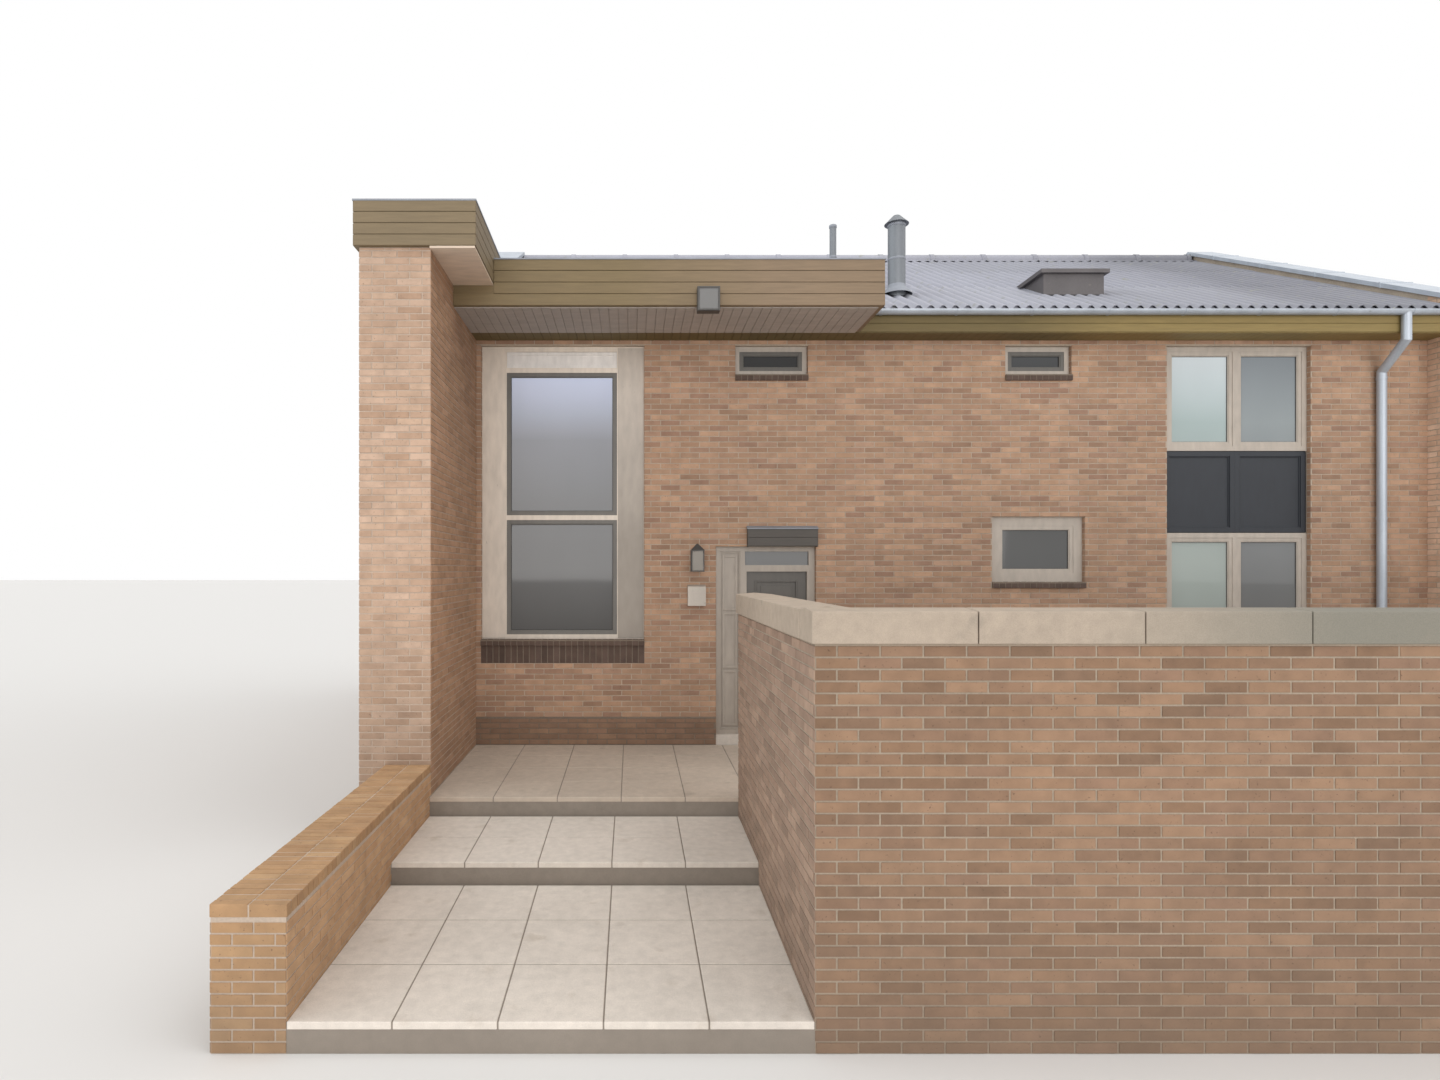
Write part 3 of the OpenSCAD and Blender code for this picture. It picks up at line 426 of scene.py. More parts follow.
ZINC = metalwork("zinc", "b2b9c2")
LEAD = metalwork("flashing", "8e929a", 0.6, 0.3)
STEEL = metalwork("satin_steel", "a9a9a6", 0.3, 0.85)
DARK_METAL = metalwork("dark_metal", "4a4846", 0.5, 0.3)
GREY_METAL = metalwork("grey_metal", "777b80", 0.5, 0.35)
COWL_METAL = metalwork("cowl_metal", "605c5d", 0.6, 0.25)
BOX_PAINT = metalwork("box_paint", "b8b0a6", 0.5, 0.1)

# Each glass tone below is a painted reflection that changes over the pane's height.
TALL_GLASS = glazing(
    "tall_window_glass_tone", ["555453", "717273", "7a7c7f", "8e929b", "d0dcfa"], 1.9, 5.1)
LEFT_GLASS = glazing(
    "left_light_tone", ["a9b2ae", "b6c0bb", "aab6b4", "b2c2c2", "e4eef4"], 1.9, 5.4)
RIGHT_GLASS = glazing(
    "right_light_tone", ["7f8080", "87898a", "8b9092", "9ba3a6", "8b939a"], 1.9, 5.4)
DARK_GLASS = glazing("small_glass_tone", ["636464", "696867"], 2.3, 5.4)
SMALL_GLASS = glazing("upper_glass_tone", ["454749", "4f5153"], 5.0, 5.4)
REAR_GLASS = glazing("rear_glass_tone", ["5d6366", "7d8689", "a3b0b4"], 1.6, 5.3)
LAMP_GLASS = glazing("lamp_glass_tone", ["8f8676", "a1988a"], 2.0, 3.0, 0.5)


def dress(material, *names):
    """Gives its look to a CAD piece that stays in sight."""
    for name in names:
        nodes[name].data.materials[0] = material


dress(MORTAR, "front_wall_stair_bay", "front_wall_over_door", "front_wall_kitchen_bay",
      "front_wall_window_bay", "rear_wall", "right_party_wall")
dress(GARDEN_MORTAR, "garden_wall_front", "garden_wall_return", "garden_wall_side")
dress(PALE_MORTAR, "left_party_wall", "low_wall", "low_wall_capping")
dress(DARK_MORTAR, "front_plinth", "window_sills")
dress(RISER, "entrance_landing", "middle_step", "lower_step")
dress(STEP, "door_threshold")
dress(SCREED, "ground_floor", "upper_floor")
dress(SHEETING, "front_roof_slope", "rear_roof_slope", "canopy_deck")
dress(ZINC, "left_party_coping", "right_party_coping", "front_gutter", "rear_gutter",
      "front_downpipe", "rear_downpipe")
dress(VERGE, "fin_verge_box")
dress(PALE_SOFFIT, "fin_verge_soffit")
dress(TIMBER, "canopy_fascia")
dress(SOFFIT, "canopy_soffit", "canopy_joists")
dress(EAVES_BOARDS, "front_eaves", "rear_eaves")
dress(HOOD, "door_hood")
# The tall window's frame takes the left board's paint with its painted light.
dress(LEFT_BOARD, "tall_window_frame")
dress(HEAD_BOARD, "tall_window_head_board")
dress(JOINERY, "small_window_frames", "stacked_window_frames", "rear_window_frames")
dress(DOOR_JOINERY, "door_frame")
dress(PANEL, "spandrel_panel")
dress(DOOR_PAINT, "entrance_door")
dress(REAR_GLASS, "rear_window_glass")
dress(DARK_GLASS, "door_transom_glass")
dress(STEEL, "door_handle", "door_hinges")
dress(DARK_METAL, "canopy_floodlight")
dress(BOX_PAINT, "letter_box")
dress(GREY_METAL, "roof_pipes")
dress(COWL_METAL, "roof_cowl")


# Mesh building
class Mesh:
    """Corners and faces, gathered in the row frame, that become one piece."""

    def __init__(self):
        self.v, self.f, self.i = [], [], []

    def face(self, corners, slot=0):
        self.f.append(tuple(corners))
        self.i.append(slot)

    def solid(self, low, high, slot=0):
        """A box between two corners."""
        (a, b, c), (d, e, f) = low, high
        n = len(self.v)
        self.v += [at(x, y, z) for z in (c, f) for y in (b, e) for x in (a, d)]
        for q in ((0, 2, 3, 1), (4, 5, 7, 6), (0, 1, 5, 4),
                  (2, 6, 7, 3), (0, 4, 6, 2), (1, 3, 7, 5)):
            self.face([n + k for k in q], slot)

    def prism(self, profile, start, end, slot=0, along_y=False):
        """A profile carried along x as (y, z), or along y as (x, z), closed at both ends."""
        n, k = len(self.v), len(profile)
        for s in (start, end):
            self.v += [at(p, s, z) if along_y else at(s, p, z) for p, z in profile]
        faces = [(n + j, n + k + j, n + k + (j + 1) % k, n + (j + 1) % k) for j in range(k)]
        faces += [range(n, n + k), range(n + 2 * k - 1, n + k - 1, -1)]
        for q in faces:
            self.face(q[::-1] if along_y else q, slot)

    def turned(self, centre, profile, sides, along_y=False):
        """A profile of (radius, height) turned about an upright axis, or about one along y."""
        n = len(self.v)
        for r, h in profile:
            for s in range(sides):
                turn = 2 * math.pi * s / sides
                p, q = r * math.cos(turn), r * math.sin(turn)
                step = (p, h, q) if along_y else (p, q, h)
                self.v.append(at(*(c + e for c, e in zip(centre, step))))
        for k in range(len(profile) - 1):
            a, b = n + k * sides, n + (k + 1) * sides
            for s in range(sides):
                t = (s + 1) % sides
                self.face((a + s, a + t, b + t, b + s))

    def make(self, name, mats, body="house", bevel=0.0, smooth=False, replaces=()):
        """The piece. bevel is the width of its rounded edges in metres."""
        me = bpy.data.meshes.new(name)
        me.from_pydata(self.v, [], self.f)
        for m in mats if isinstance(mats, list) else [mats]:
            me.materials.append(m)
        me.polygons.foreach_set("material_index", self.i)
        me.polygons.foreach_set("use_smooth", [smooth] * len(self.f))
        me.update()
        ob = bpy.data.objects.new(name, me)
        bpy.context.scene.collection.objects.link(ob)
        if bevel:
            mod = ob.modifiers.new("edges", "BEVEL")
            mod.width, mod.segments, mod.limit_method = bevel, 2, "ANGLE"
        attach(ob, body)
        if replaces:
            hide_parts(*replaces)


# Bricks: course height, stretcher length and joint, how far they stand out of the mortar
# face and at what inset their edges round off, and the shortest run that is laid
COURSE, STRETCHER, JOINT = 66.667, 240.0, 11.0
PROUD, EDGE_IN, EDGE_DOWN, BED = 5.0, 2.4, 1.8, -1.0
HEAD_GAP, LEAST_RUN, LEAST_LENGTH, LEAST_HEIGHT = 6, 20, 18, 14

# Directions (x, y) along and out of a face
E, W, N, S = (1, 0), (-1, 0), (0, 1), (0, -1)


def cut_out(rect, hole):
    """The parts of a rectangle (u0, u1, v0, v1) outside another one."""
    a, b, c, d = rect
    p, q, r, s = hole
    if b <= p or a >= q or d <= r or c >= s:
        return [rect]
    out = []
    if a < p:
        out.append((a, p, c, d))
    if b > q:
        out.append((q, b, c, d))
    a, b = max(a, p), min(b, q)
    if c < r:
        out.append((a, b, c, r))
    if d > s:
        out.append((a, b, s, d))
    return out


def place_brick(mesh, start, u, n, ring, proud=PROUD):
    """One brick with rounded edges, on a face, between the four corners of ring."""
    mid_u = sum(p for p, _ in ring) / 4
    mid_v = sum(q for _, q in ring) / 4
    out = proud + rnd.uniform(-1.2, 0.8)
    lean = rnd.uniform(-0.5, 0.5)
    base = len(mesh.v)
    for depth, inset in ((BED, 0.0), (out - EDGE_DOWN, 0.0), (out, EDGE_IN)):
        for j, (p, q) in enumerate(ring):
            inset_v = min(inset, abs(q - mid_v))
            p += inset if p < mid_u else -inset
            q += inset_v if q < mid_v else -inset_v
            d = depth + (lean if j in (1, 2) and inset else 0.0)
            x, y = (start[i] + u[i] * p + n[i] * d for i in (0, 1))
            mesh.v.append(at(x, y, q))
    faces = [(a + j, a + (j + 1) % 4, a + 4 + (j + 1) % 4, a + 4 + j)
             for a in (base, base + 4) for j in range(4)]
    faces.append(range(base + 8, base + 12))
    flip = u[0] * n[1] - u[1] * n[0] > 0
    for q in faces:
        mesh.face(q[::-1] if flip else q)


def under_head(rect, level):
    """The corners of a brick's face under the wall's head, or None where it is too small.

    Where a sloped head runs out at the brick's foot, the brick ends there.
    """
    a, b, c, d = rect
    da, db = level(a) - HEAD_GAP, level(b) - HEAD_GAP
    foot = c + 2
    if da < foot < db:
        a, da = a + (b - a) * (foot - da) / (db - da), foot
    elif db < foot < da:
        b, db = b - (b - a) * (foot - db) / (da - db), foot
    da, db = min(d, da), min(d, db)
    if b - a < LEAST_LENGTH or min(da, db) < c + 1 or max(da, db) - c < LEAST_HEIGHT:
        return None
    return (a, c), (b, c), (b, db), (a, da)


def lay(mesh, start, u, n, width, top, holes=(), foot=0.0, phase=0.0, proud=PROUD,
        length=STRETCHER):
    """Lays bricks in stretcher bond on an upright face.

    start is the face's (x, y) where u is 0, u and n are its unit directions along and
    outward. top is a height or a function of u. holes are (u0, u1, z0, z1).
    """
    level = top if callable(top) else (lambda _: top)
    high = max(level(width * i / 64) for i in range(65))
    k = int(foot // COURSE)
    while k * COURSE < high:
        low, head = max(foot, k * COURSE + JOINT / 2), (k + 1) * COURSE - JOINT / 2
        first = -(phase + (length / 2 if k % 2 else 0.0))
        while first < width:
            a, b = max(0.0, first + JOINT / 2), min(width, first + length - JOINT / 2)
            first += length
            rects = [(a, b, low, head)] if b - a > LEAST_RUN else []
            for hole in holes:
                rects = [r for old in rects for r in cut_out(old, hole)]
            for rect in rects:
                ring = under_head(rect, level)
                if ring:
                    place_brick(mesh, start, u, n, ring, proud)
        k += 1


def reveals(mesh, x0, x1, y, foot, top, inward):
    """The bricks on both sides of an opening, one a course."""
    for x, out in ((x0, E), (x1, W)):
        lay(mesh, (x, y), inward, out, REVEAL - 2, top, foot=foot, proud=4, length=400)


# Brick walls
IN_W = END_X - IN_X
FRONT_HOLES = [TALL, OVER_DOOR, BATH, KITCHEN, STACK, DOOR]
# Past the end of every wall
FAR = 9000

# The plinth, the eaves box and the bricks on end cover parts of the front wall
m = Mesh()
lay(m, (IN_X, 0), E, S, IN_W, SOFFIT_Z,
    [(a - IN_X, b - IN_X, c, d) for a, b, c, d in FRONT_HOLES]
    + [(0, IN_W, 0, PLINTH_Z), (0, IN_W, SOFFIT_Z, FAR),
       (TALL[0] - IN_X, TALL[1] - IN_X, TALL[2] - APRON_H, TALL[2])])
for a, b, c, d in FRONT_HOLES:
    reveals(m, a, b, 0, c + SILL_H if c else GROUND_Z, d, N)
m.make("front_bricks", BRICK)

m = Mesh()
lay(m, (IN_X, PLINTH_Y), E, S, DOOR_X0 - IN_X, PLINTH_Z, foot=LAND_Z, phase=60)
lay(m, (DOOR_X1, PLINTH_Y), E, S, END_X - DOOR_X1, PLINTH_Z,
    [(0, LAND_X1 - DOOR_X1, 0, LAND_Z)], phase=60)
for a, b in ((IN_X, DOOR_X0), (DOOR_X1, END_X)):
    m.prism([(0, PLINTH_Z - 1), (PLINTH_Y - 3, PLINTH_Z - 1), (PLINTH_Y - 3, PLINTH_Z + 6),
             (0, PLINTH_Z + 22)], a, b, 1)
m.make("plinth_bricks", [PLINTH_BRICK, DARK_MORTAR])

m = Mesh()
lay(m, (END_X, DEPTH), W, N, IN_W, SOFFIT_Z, [(END_X - b, END_X - a, c, d) for a, b, c, d in REAR])
for a, b, c, d in REAR:
    reveals(m, a, b, DEPTH, c + SILL_H, d, S)
m.make("rear_bricks", BRICK)

m = Mesh()
lay(m, (0, FIN_Y), E, S, IN_X, FIN_Z)
lay(m, (0, REAR_END), S, W, REAR_END - FIN_Y, lambda u: fin_top(REAR_END - u))
lay(m, (IN_X, DEPTH), N, E, WING, lambda u: crown_z(DEPTH + u))
lay(m, (IN_X, REAR_END), W, N, IN_X, crown_z(REAR_END))
m.make("left_party_bricks", FIN_BRICK)
m = Mesh()
lay(m, (IN_X, FIN_Y), N, E, -FIN_Y, FIN_Z, [(0, -FIN_Y, 0, LAND_Z)])
m.make("fin_side_bricks", FIN_SIDE_BRICK)

m = Mesh()
lay(m, (TOTAL_W, -WING), N, E, REAR_END + WING, lambda u: crown_z(u - WING))
lay(m, (END_X, REAR_END), S, W, WING, lambda u: crown_z(REAR_END - u))
lay(m, (TOTAL_W, REAR_END), W, N, TOTAL_W - END_X, crown_z(REAR_END))
m.make("right_party_bricks", BRICK)
m = Mesh()
lay(m, (END_X, -WING), E, S, TOTAL_W - END_X, crown_z(-WING))
lay(m, (END_X, 0), S, W, WING, lambda u: crown_z(-u))
m.make("right_wing_bricks", WING_BRICK)

BACK_Y = GARDEN_Y + GARDEN_T
m = Mesh()
lay(m, (RETURN_X, GARDEN_Y), E, S, TOTAL_W - RETURN_X, GARDEN_Z)
lay(m, (TOTAL_W - GARDEN_T, BACK_Y), W, N, TOTAL_W - RETURN_X - 2 * GARDEN_T, GARDEN_Z)
m.make("garden_front_bricks", GARDEN_BRICK)
m = Mesh()
lay(m, (RETURN_X, LAND_Y), S, W, LAND_Y - GARDEN_Y, GARDEN_Z,
    [(LAND_Y - MID_Y, LAND_Y - GARDEN_Y, 0, LOW_STEP_Z), (0, LAND_Y - MID_Y, 0, MID_Z)])
lay(m, (RETURN_X + GARDEN_T, BACK_Y), N, E, LAND_Y - GARDEN_Y - GARDEN_T, GARDEN_Z)
lay(m, (RETURN_X + GARDEN_T, LAND_Y), W, N, GARDEN_T, GARDEN_Z, foot=LAND_Z)
m.make("garden_return_bricks", RETURN_BRICK)
m = Mesh()
lay(m, (TOTAL_W, GARDEN_Y), N, E, -WING - GARDEN_Y, GARDEN_Z)
lay(m, (TOTAL_W - GARDEN_T, -WING), S, W, -WING - GARDEN_Y - GARDEN_T, GARDEN_Z)
m.make("garden_side_bricks", GARDEN_BRICK)

m = Mesh()
lay(m, (LOW_X, GARDEN_Y), E, S, IN_X - LOW_X, LOW_Z)
lay(m, (LOW_X, FIN_Y), S, W, FIN_Y - GARDEN_Y, LOW_Z)
m.make("low_wall_bricks", CAP_BRICK)
m = Mesh()
lay(m, (IN_X, GARDEN_Y), N, E, FIN_Y - GARDEN_Y, LOW_Z,
    [(0, MID_Y - GARDEN_Y, 0, LOW_STEP_Z), (MID_Y - GARDEN_Y, LAND_Y - GARDEN_Y, 0, MID_Z),
     (LAND_Y - GARDEN_Y, FAR, 0, LAND_Z)])
m.make("low_wall_side_bricks", LOW_SIDE_BRICK)
# Its capping of bricks on edge, two side by side
CAP_STEP, CAP_T, CAP_H, CAP_OUT = 76, 66, 74, 6
CAP_JOINT_X0, CAP_JOINT_X1 = LOW_X + 206, LOW_X + 214
m = Mesh()
y = GARDEN_Y - 4
while y < FIN_Y - 40:
    for a, b in ((LOW_X - CAP_OUT, CAP_JOINT_X0), (CAP_JOINT_X1, IN_X + CAP_OUT)):
        high = LOW_Z + CAP_H + rnd.uniform(-1.5, 1.5)
        m.solid((a, y + rnd.uniform(0, 2), LOW_Z + 2), (b, min(y + CAP_T, FIN_Y), high))
    y += CAP_STEP
m.make("low_wall_cappings", CAP_BRICK, bevel=0.004)

SILL_PITCH, SILL_OUT, SILL_FRONT, SILL_BACK = 75, 39, 54, 74


def sills(name, windows, face_y, side):
    """Bricks on edge, sloped outwards, under some windows."""
    mesh = Mesh()
    back = REVEAL - 3
    for x0, x1, z0, _ in windows:
        for a, b in units(x0, x1, SILL_PITCH):
            lift = rnd.uniform(-1, 1)
            profile = [(-SILL_OUT, -2), (-SILL_OUT, SILL_FRONT + lift),
                       (back, SILL_BACK + lift), (back, 20), (-2, -2)]
            profile = [(face_y + side * y, z0 + z) for y, z in profile]
            mesh.prism(profile if side > 0 else profile[::-1], a + 4, b - 4)
    mesh.make(name, SILL_BRICK, bevel=0.003)


sills("front_sill_bricks", FRONT_HOLES[:-1], 0, 1)
# Bricks on end under the tall window's sill, in dark mortar
m = Mesh()
x0, x1, z1, _ = TALL
z0 = z1 - APRON_H
m.solid((x0, -1.2, z0), (x1, 0.5, z1), 1)
for a, b in units(x0, x1, SILL_PITCH):
    ring = ((a + 5, z0 + 4), (b - 5, z0 + 4), (b - 5, z1 - 4), (a + 5, z1 - 4))
    place_brick(m, (0, 0), E, S, ring)
m.make("tall_window_apron_bricks", [SILL_BRICK, DARK_MORTAR])
sills("rear_sill_bricks", REAR, DEPTH, -1)

# Concrete copings, steps and landing
OVER, OVER_R = 25, 40
COPING_Z, SHOULDER = GARDEN_Z + COPING_H, GARDEN_Z + COPING_H - 14
COPING_LENGTH, SLAB = 905, 600


def coping(mesh, p0, p1, top, start, end, along_y):
    """A run of coping units between p0 and p1 across, highest at top."""
    profile = [(p0, GARDEN_Z), (p0, SHOULDER), (top, COPING_Z), (p1, SHOULDER), (p1, GARDEN_Z)]
    for a, b in units(start, end, COPING_LENGTH):
        mesh.prism(profile, a + 3, b - 3, along_y=along_y)


m = Mesh()
coping(m, GARDEN_Y - OVER, BACK_Y + OVER, GARDEN_Y + GARDEN_T / 2,
       RETURN_X - OVER, TOTAL_W + OVER_R, False)
for x0, x1, y1 in ((RETURN_X - OVER, RETURN_X + GARDEN_T + OVER, LAND_Y + OVER),
                   (TOTAL_W - GARDEN_T - OVER, TOTAL_W + OVER_R, -WING)):
    coping(m, x0, x1, (x0 + x1) / 2, BACK_Y + OVER, y1, True)
m.make("garden_coping_units", COPING, bevel=0.006, replaces=("garden_coping",))

m = Mesh()
for x1, y0, y1, z in ((LAND_X1, LAND_Y, 0, LAND_Z), (RETURN_X, MID_Y, LAND_Y, MID_Z),
                      (RETURN_X, GARDEN_Y, MID_Y, LOW_STEP_Z)):
    for p, q in units(y0, y1, SLAB):
        for a, b in units(IN_X, x1, SLAB):
            # the first row stands out over the riser, the last one stops at the next riser
            m.solid((a + 4, p + (4 if p > y0 else -4), z - 40),
                    (b - 4, q - (4 if q < y1 else 22), z + 4), int(z == LAND_Z))
m.make("step_slabs", [STEP, LANDING], bevel=0.005)

# Roof sheets: rows of them from the eaves up, each lapped over the one below
SHEET_ROWS = ((-345, 1250), (1130, 2760), (2640, 4190))
STEPS_A_RIB, ROOF_GAP, SHEET_EDGE = 8, 3, 9.0


def wave(x):
    """The sheets' height over the slope, a rounded rib in every pitch."""
    turn = math.cos(2 * math.pi * ((x - IN_X) / PITCH - 0.375))
    return CREST / 2 * (1 + max(-1, min(1, 1.25 * turn)))


def sheets(name, side):
    """Corrugated sheets in lapped rows over one slope, with a thick lower edge."""
    mesh = Mesh()
    n = RIBS * STEPS_A_RIB
    xs = [IN_X + 4 + (IN_W - 8) * i / n for i in range(n + 1)]
    for y0, y1 in SHEET_ROWS:
        last = y1 == SHEET_ROWS[-1][1]
        lines = []
        for y, lift in ((y0, 1.0), (y0, SHEET_EDGE), (y1, 1.0 if last else 1.5)):
            y_side = y if side > 0 else DEPTH - y
            lines.append([at(x, y_side, top_z(y) + ROOF_GAP + lift + wave(x)) for x in xs])
        for a, b in zip(lines, lines[1:]):
            k = len(mesh.v)
            mesh.v += a + b
            for i in range(k, k + n):
                q = (i, i + 1, i + n + 2, i + n + 1)
                mesh.face(q if side > 0 else q[::-1])
    mesh.make(name, SHEETING, smooth=True)


sheets("front_roof_sheets", 1)
sheets("rear_roof_sheets", -1)

# Ridge units: a round back, a flap on each slope, and a collar where two of them meet
FLAP_Y, FLAP_T, RIDGE_R, COLLAR_R = 240, 12, 104, 114
RIDGE_X0, RIDGE_X1 = IN_X + 42, END_X - 42
flap_z, ridge_z = top_z(RIDGE_Y - FLAP_Y) + CREST + 14, top_z(RIDGE_Y)
turns = [math.radians(-10 + 200 * j / 12) for j in range(13)]
m = Mesh()
for a, b in units(RIDGE_X0, RIDGE_X1, 900):
    for x0, x1, r in ((a, b - 40, RIDGE_R), (b - 70, b + 6, COLLAR_R)):
        profile = [(FLAP_Y, flap_z)]
        profile += [(r * math.cos(t), ridge_z + 15 + r * math.sin(t)) for t in turns]
        profile += [(-FLAP_Y, flap_z), (-FLAP_Y, flap_z - FLAP_T), (0, ridge_z + 20),
                    (FLAP_Y, flap_z - FLAP_T)]
        m.prism([(RIDGE_Y + y, z) for y, z in profile[::-1]], x0, min(x1, RIDGE_X1))
m.make("ridge_units", SHEETING, replaces=("ridge_capping",))

# Standing joints on the party walls' copings
COPING_OUT, COPING_RISE, JOINT_HALF = 40, 60, 12
m = Mesh()
for x0, x1, y0 in ((0, IN_X, MEET_Y), (END_X, TOTAL_W, 10 - WING)):
    for y in [y0 + 30 + 1000 * i for i in range(11)]:
        if y <= REAR_END - 60:
            ya, yb = y - JOINT_HALF, y + JOINT_HALF
            za, zb = crown_z(ya) + COPING_RISE, crown_z(yb) + COPING_RISE
            m.prism([(ya, za - 66), (ya, za + 10), (yb, zb + 10), (yb, zb - 66)],
                    x0 - COPING_OUT - 3, x1 + COPING_OUT + 3)
m.make("coping_joints", ZINC, bevel=0.002)

# Boards of the canopy, the eaves and the verge: their thickness, half the gap between two,
# and the heights and widths that they have about
EAVES_Y, BOARD_T, BOARD_GAP = -325, 10, 3
FASCIA_H, EAVES_H, VERGE_H, SOFFIT_W, FASCIA_T = 125, 102.5, 107.5, 105, 14
EAVES_Z = SOFFIT_Z + 205
STOP_Y = EAVES_Y - 5


def boards(mesh, low, high, height):
    """Level boards of about this height, one over the other, in a box between two corners."""
    for a, b in units(low[2], high[2], height):
        mesh.solid((low[0], low[1], a + BOARD_GAP), (high[0], high[1], b - BOARD_GAP))


m = Mesh()
for a, b in units(SOFFIT_Z, CAN_Z, FASCIA_H):
    # the upper ones start at the verge's box, which stands on the fin
    x0 = IN_X + 2 if b < FIN_Z - 12 else VERGE_X + 12
    m.solid((x0, CAN_Y - FASCIA_T, a + BOARD_GAP), (CAN_X1 + 12, CAN_Y, b - BOARD_GAP))
boards(m, (CAN_X1, CAN_Y, SOFFIT_Z), (CAN_X1 + FASCIA_T, STOP_Y, CAN_Z), FASCIA_H)
m.make("canopy_fascia_boards", TIMBER, bevel=0.003)
TRIM_OUT, TRIM_IN, TRIM_H = 22, 52, 8
m = Mesh()
m.solid((VERGE_X + 11, CAN_Y - TRIM_OUT, CAN_Z - TRIM_H),
        (CAN_X1 + TRIM_OUT, CAN_Y + TRIM_IN, CAN_Z + TRIM_H))
m.solid((CAN_X1 - TRIM_IN, CAN_Y + TRIM_IN, CAN_Z - TRIM_H),
        (CAN_X1 + TRIM_OUT, STOP_Y, CAN_Z + TRIM_H))
m.make("canopy_drip_trim", LEAD, bevel=0.002)
m = Mesh()
for a, b in units(IN_X + 2, CAN_X1 - 40, SOFFIT_W):
    m.solid((a + 2, CAN_Y + 45, SOFFIT_Z - 10), (b - 2, STOP_Y, SOFFIT_Z + 2))
m.make("canopy_soffit_boards", SOFFIT, bevel=0.002)

m = Mesh()
for x0, y in ((CAN_X1 + 16, EAVES_Y - BOARD_T), (IN_X + 2, DEPTH - EAVES_Y)):
    boards(m, (x0, y, SOFFIT_Z), (END_X - 2, y + BOARD_T, EAVES_Z), EAVES_H)
m.make("eaves_boards", EAVES_BOARDS, bevel=0.003)
m = Mesh()
for y0, y1 in ((EAVES_Y + 7, -6), (DEPTH + 6, DEPTH - EAVES_Y - 7)):
    for a, b in units(IN_X, END_X, SOFFIT_W):
        m.solid((a + 2, y0, SOFFIT_Z - 8), (b - 2, y1, SOFFIT_Z + 2))
m.make("eaves_soffit_boards", EAVES_BOARDS, bevel=0.002)

VERGE_X0, VERGE_Y = -40, FIN_Y - 40
m = Mesh()
boards(m, (VERGE_X0, VERGE_Y - BOARD_T, FIN_Z), (VERGE_X + BOARD_T, VERGE_Y, VERGE_Z), VERGE_H)
for x in (VERGE_X, VERGE_X0 - BOARD_T):
    boards(m, (x, VERGE_Y, FIN_Z), (x + BOARD_T, MEET_Y, VERGE_Z), VERGE_H)
m.make("verge_boards", VERGE, bevel=0.003)
m = Mesh()
m.solid((VERGE_X0 - 14, VERGE_Y - 14, VERGE_Z - 6), (VERGE_X + 16, MEET_Y, VERGE_Z + 14))
m.make("verge_capping", LEAD, bevel=0.004)

# Straps under the gutters: half rings, every 900 mm
GUTTER_Y, GUTTER_Z, GUTTER_R = EAVES_Y - 58, SOFFIT_Z + 246, 59


def gutter_straps(name, side):
    mesh = Mesh()
    turns = [math.pi + math.pi * j / 8 for j in range(9)]
    ring = [(GUTTER_R, t) for t in turns] + [(GUTTER_R + 4, t) for t in reversed(turns)]
    profile = [(GUTTER_Y + r * math.cos(t), GUTTER_Z + r * math.sin(t)) for r, t in ring]
    if side < 0:
        profile = [(DEPTH - y, z) for y, z in reversed(profile)]
    x = (CAN_X1 if side > 0 else IN_X) + 250
    while x < END_X - 100:
        mesh.prism(profile, x - 12, x + 12)
        x += 900
    mesh.make(name, ZINC)


gutter_straps("front_gutter_straps", 1)
gutter_straps("rear_gutter_straps", -1)


# Windows
def ring_of(mesh, x0, x1, z0, z1, width, y0, y1, slot=0):
    """Four members of this width just inside a rectangle, the upright ones full height."""
    mesh.solid((x0, y0, z0), (x0 + width, y1, z1), slot)
    mesh.solid((x1 - width, y0, z0), (x1, y1, z1), slot)
    mesh.solid((x0 + width, y0, z0), (x1 - width, y1, z0 + width), slot)
    mesh.solid((x0 + width, y0, z1 - width), (x1 - width, y1, z1), slot)


def halves(window):
    """The places along x of a window's two lights."""
    x0, x1 = window[0] + FRAME_W, window[1] - FRAME_W
    mid = (x0 + x1) / 2
    return (x0, mid - FRAME_W / 2), (mid + FRAME_W / 2, x1)


def light(window, frame_w):
    """A window's one light, inside a frame of this width."""
    x0, x1, z0, z1 = window
    return x0 + frame_w, x1 - frame_w, z0 + SILL_H + frame_w, z1 - frame_w


def sashes(name, paint, panes, face_y=0, side=1):
    """A sash, its bead and a dark gasket round every pane, on the pane's outer side."""
    mesh = Mesh()
    for x0, x1, z0, z1 in panes:
        for inset, width, near, far, slot in ((-1, 42, 8, 30, 0), (40, 14, 14, 31, 0),
                                              (53, 5, 26, 32, 1)):
            y0, y1 = sorted(face_y + side * (REVEAL + d) for d in (near, far))
            ring_of(mesh, x0 + inset, x1 - inset, z0 + inset, z1 - inset, width, y0, y1, slot)
    mesh.make(name, [paint, GASKET], bevel=0.002)


TALL_PANES = [(TALL_X0, TALL_X1, z0, z1) for z0, z1 in TALL_LIGHTS]
STACK_PANES = [(a, b, z0 + FRAME_W, z1 - FRAME_W)
               for z0, z1 in STACK_LIGHTS for a, b in halves(STACK)]
SMALL_PANES = [light(w, FRAME_W) for w in (OVER_DOOR, BATH)]
KITCHEN_PANE = light(KITCHEN, KITCHEN_FRAME)
REAR_PANES = [(a, b, w[2] + SILL_H + FRAME_W, w[3] - FRAME_W) for w in REAR for a, b in halves(w)]

sashes("front_sashes", JOINERY, [KITCHEN_PANE] + STACK_PANES)
sashes("dark_sashes", DARK_SASH, TALL_PANES + SMALL_PANES)
sashes("rear_sashes", JOINERY, REAR_PANES, DEPTH, -1)

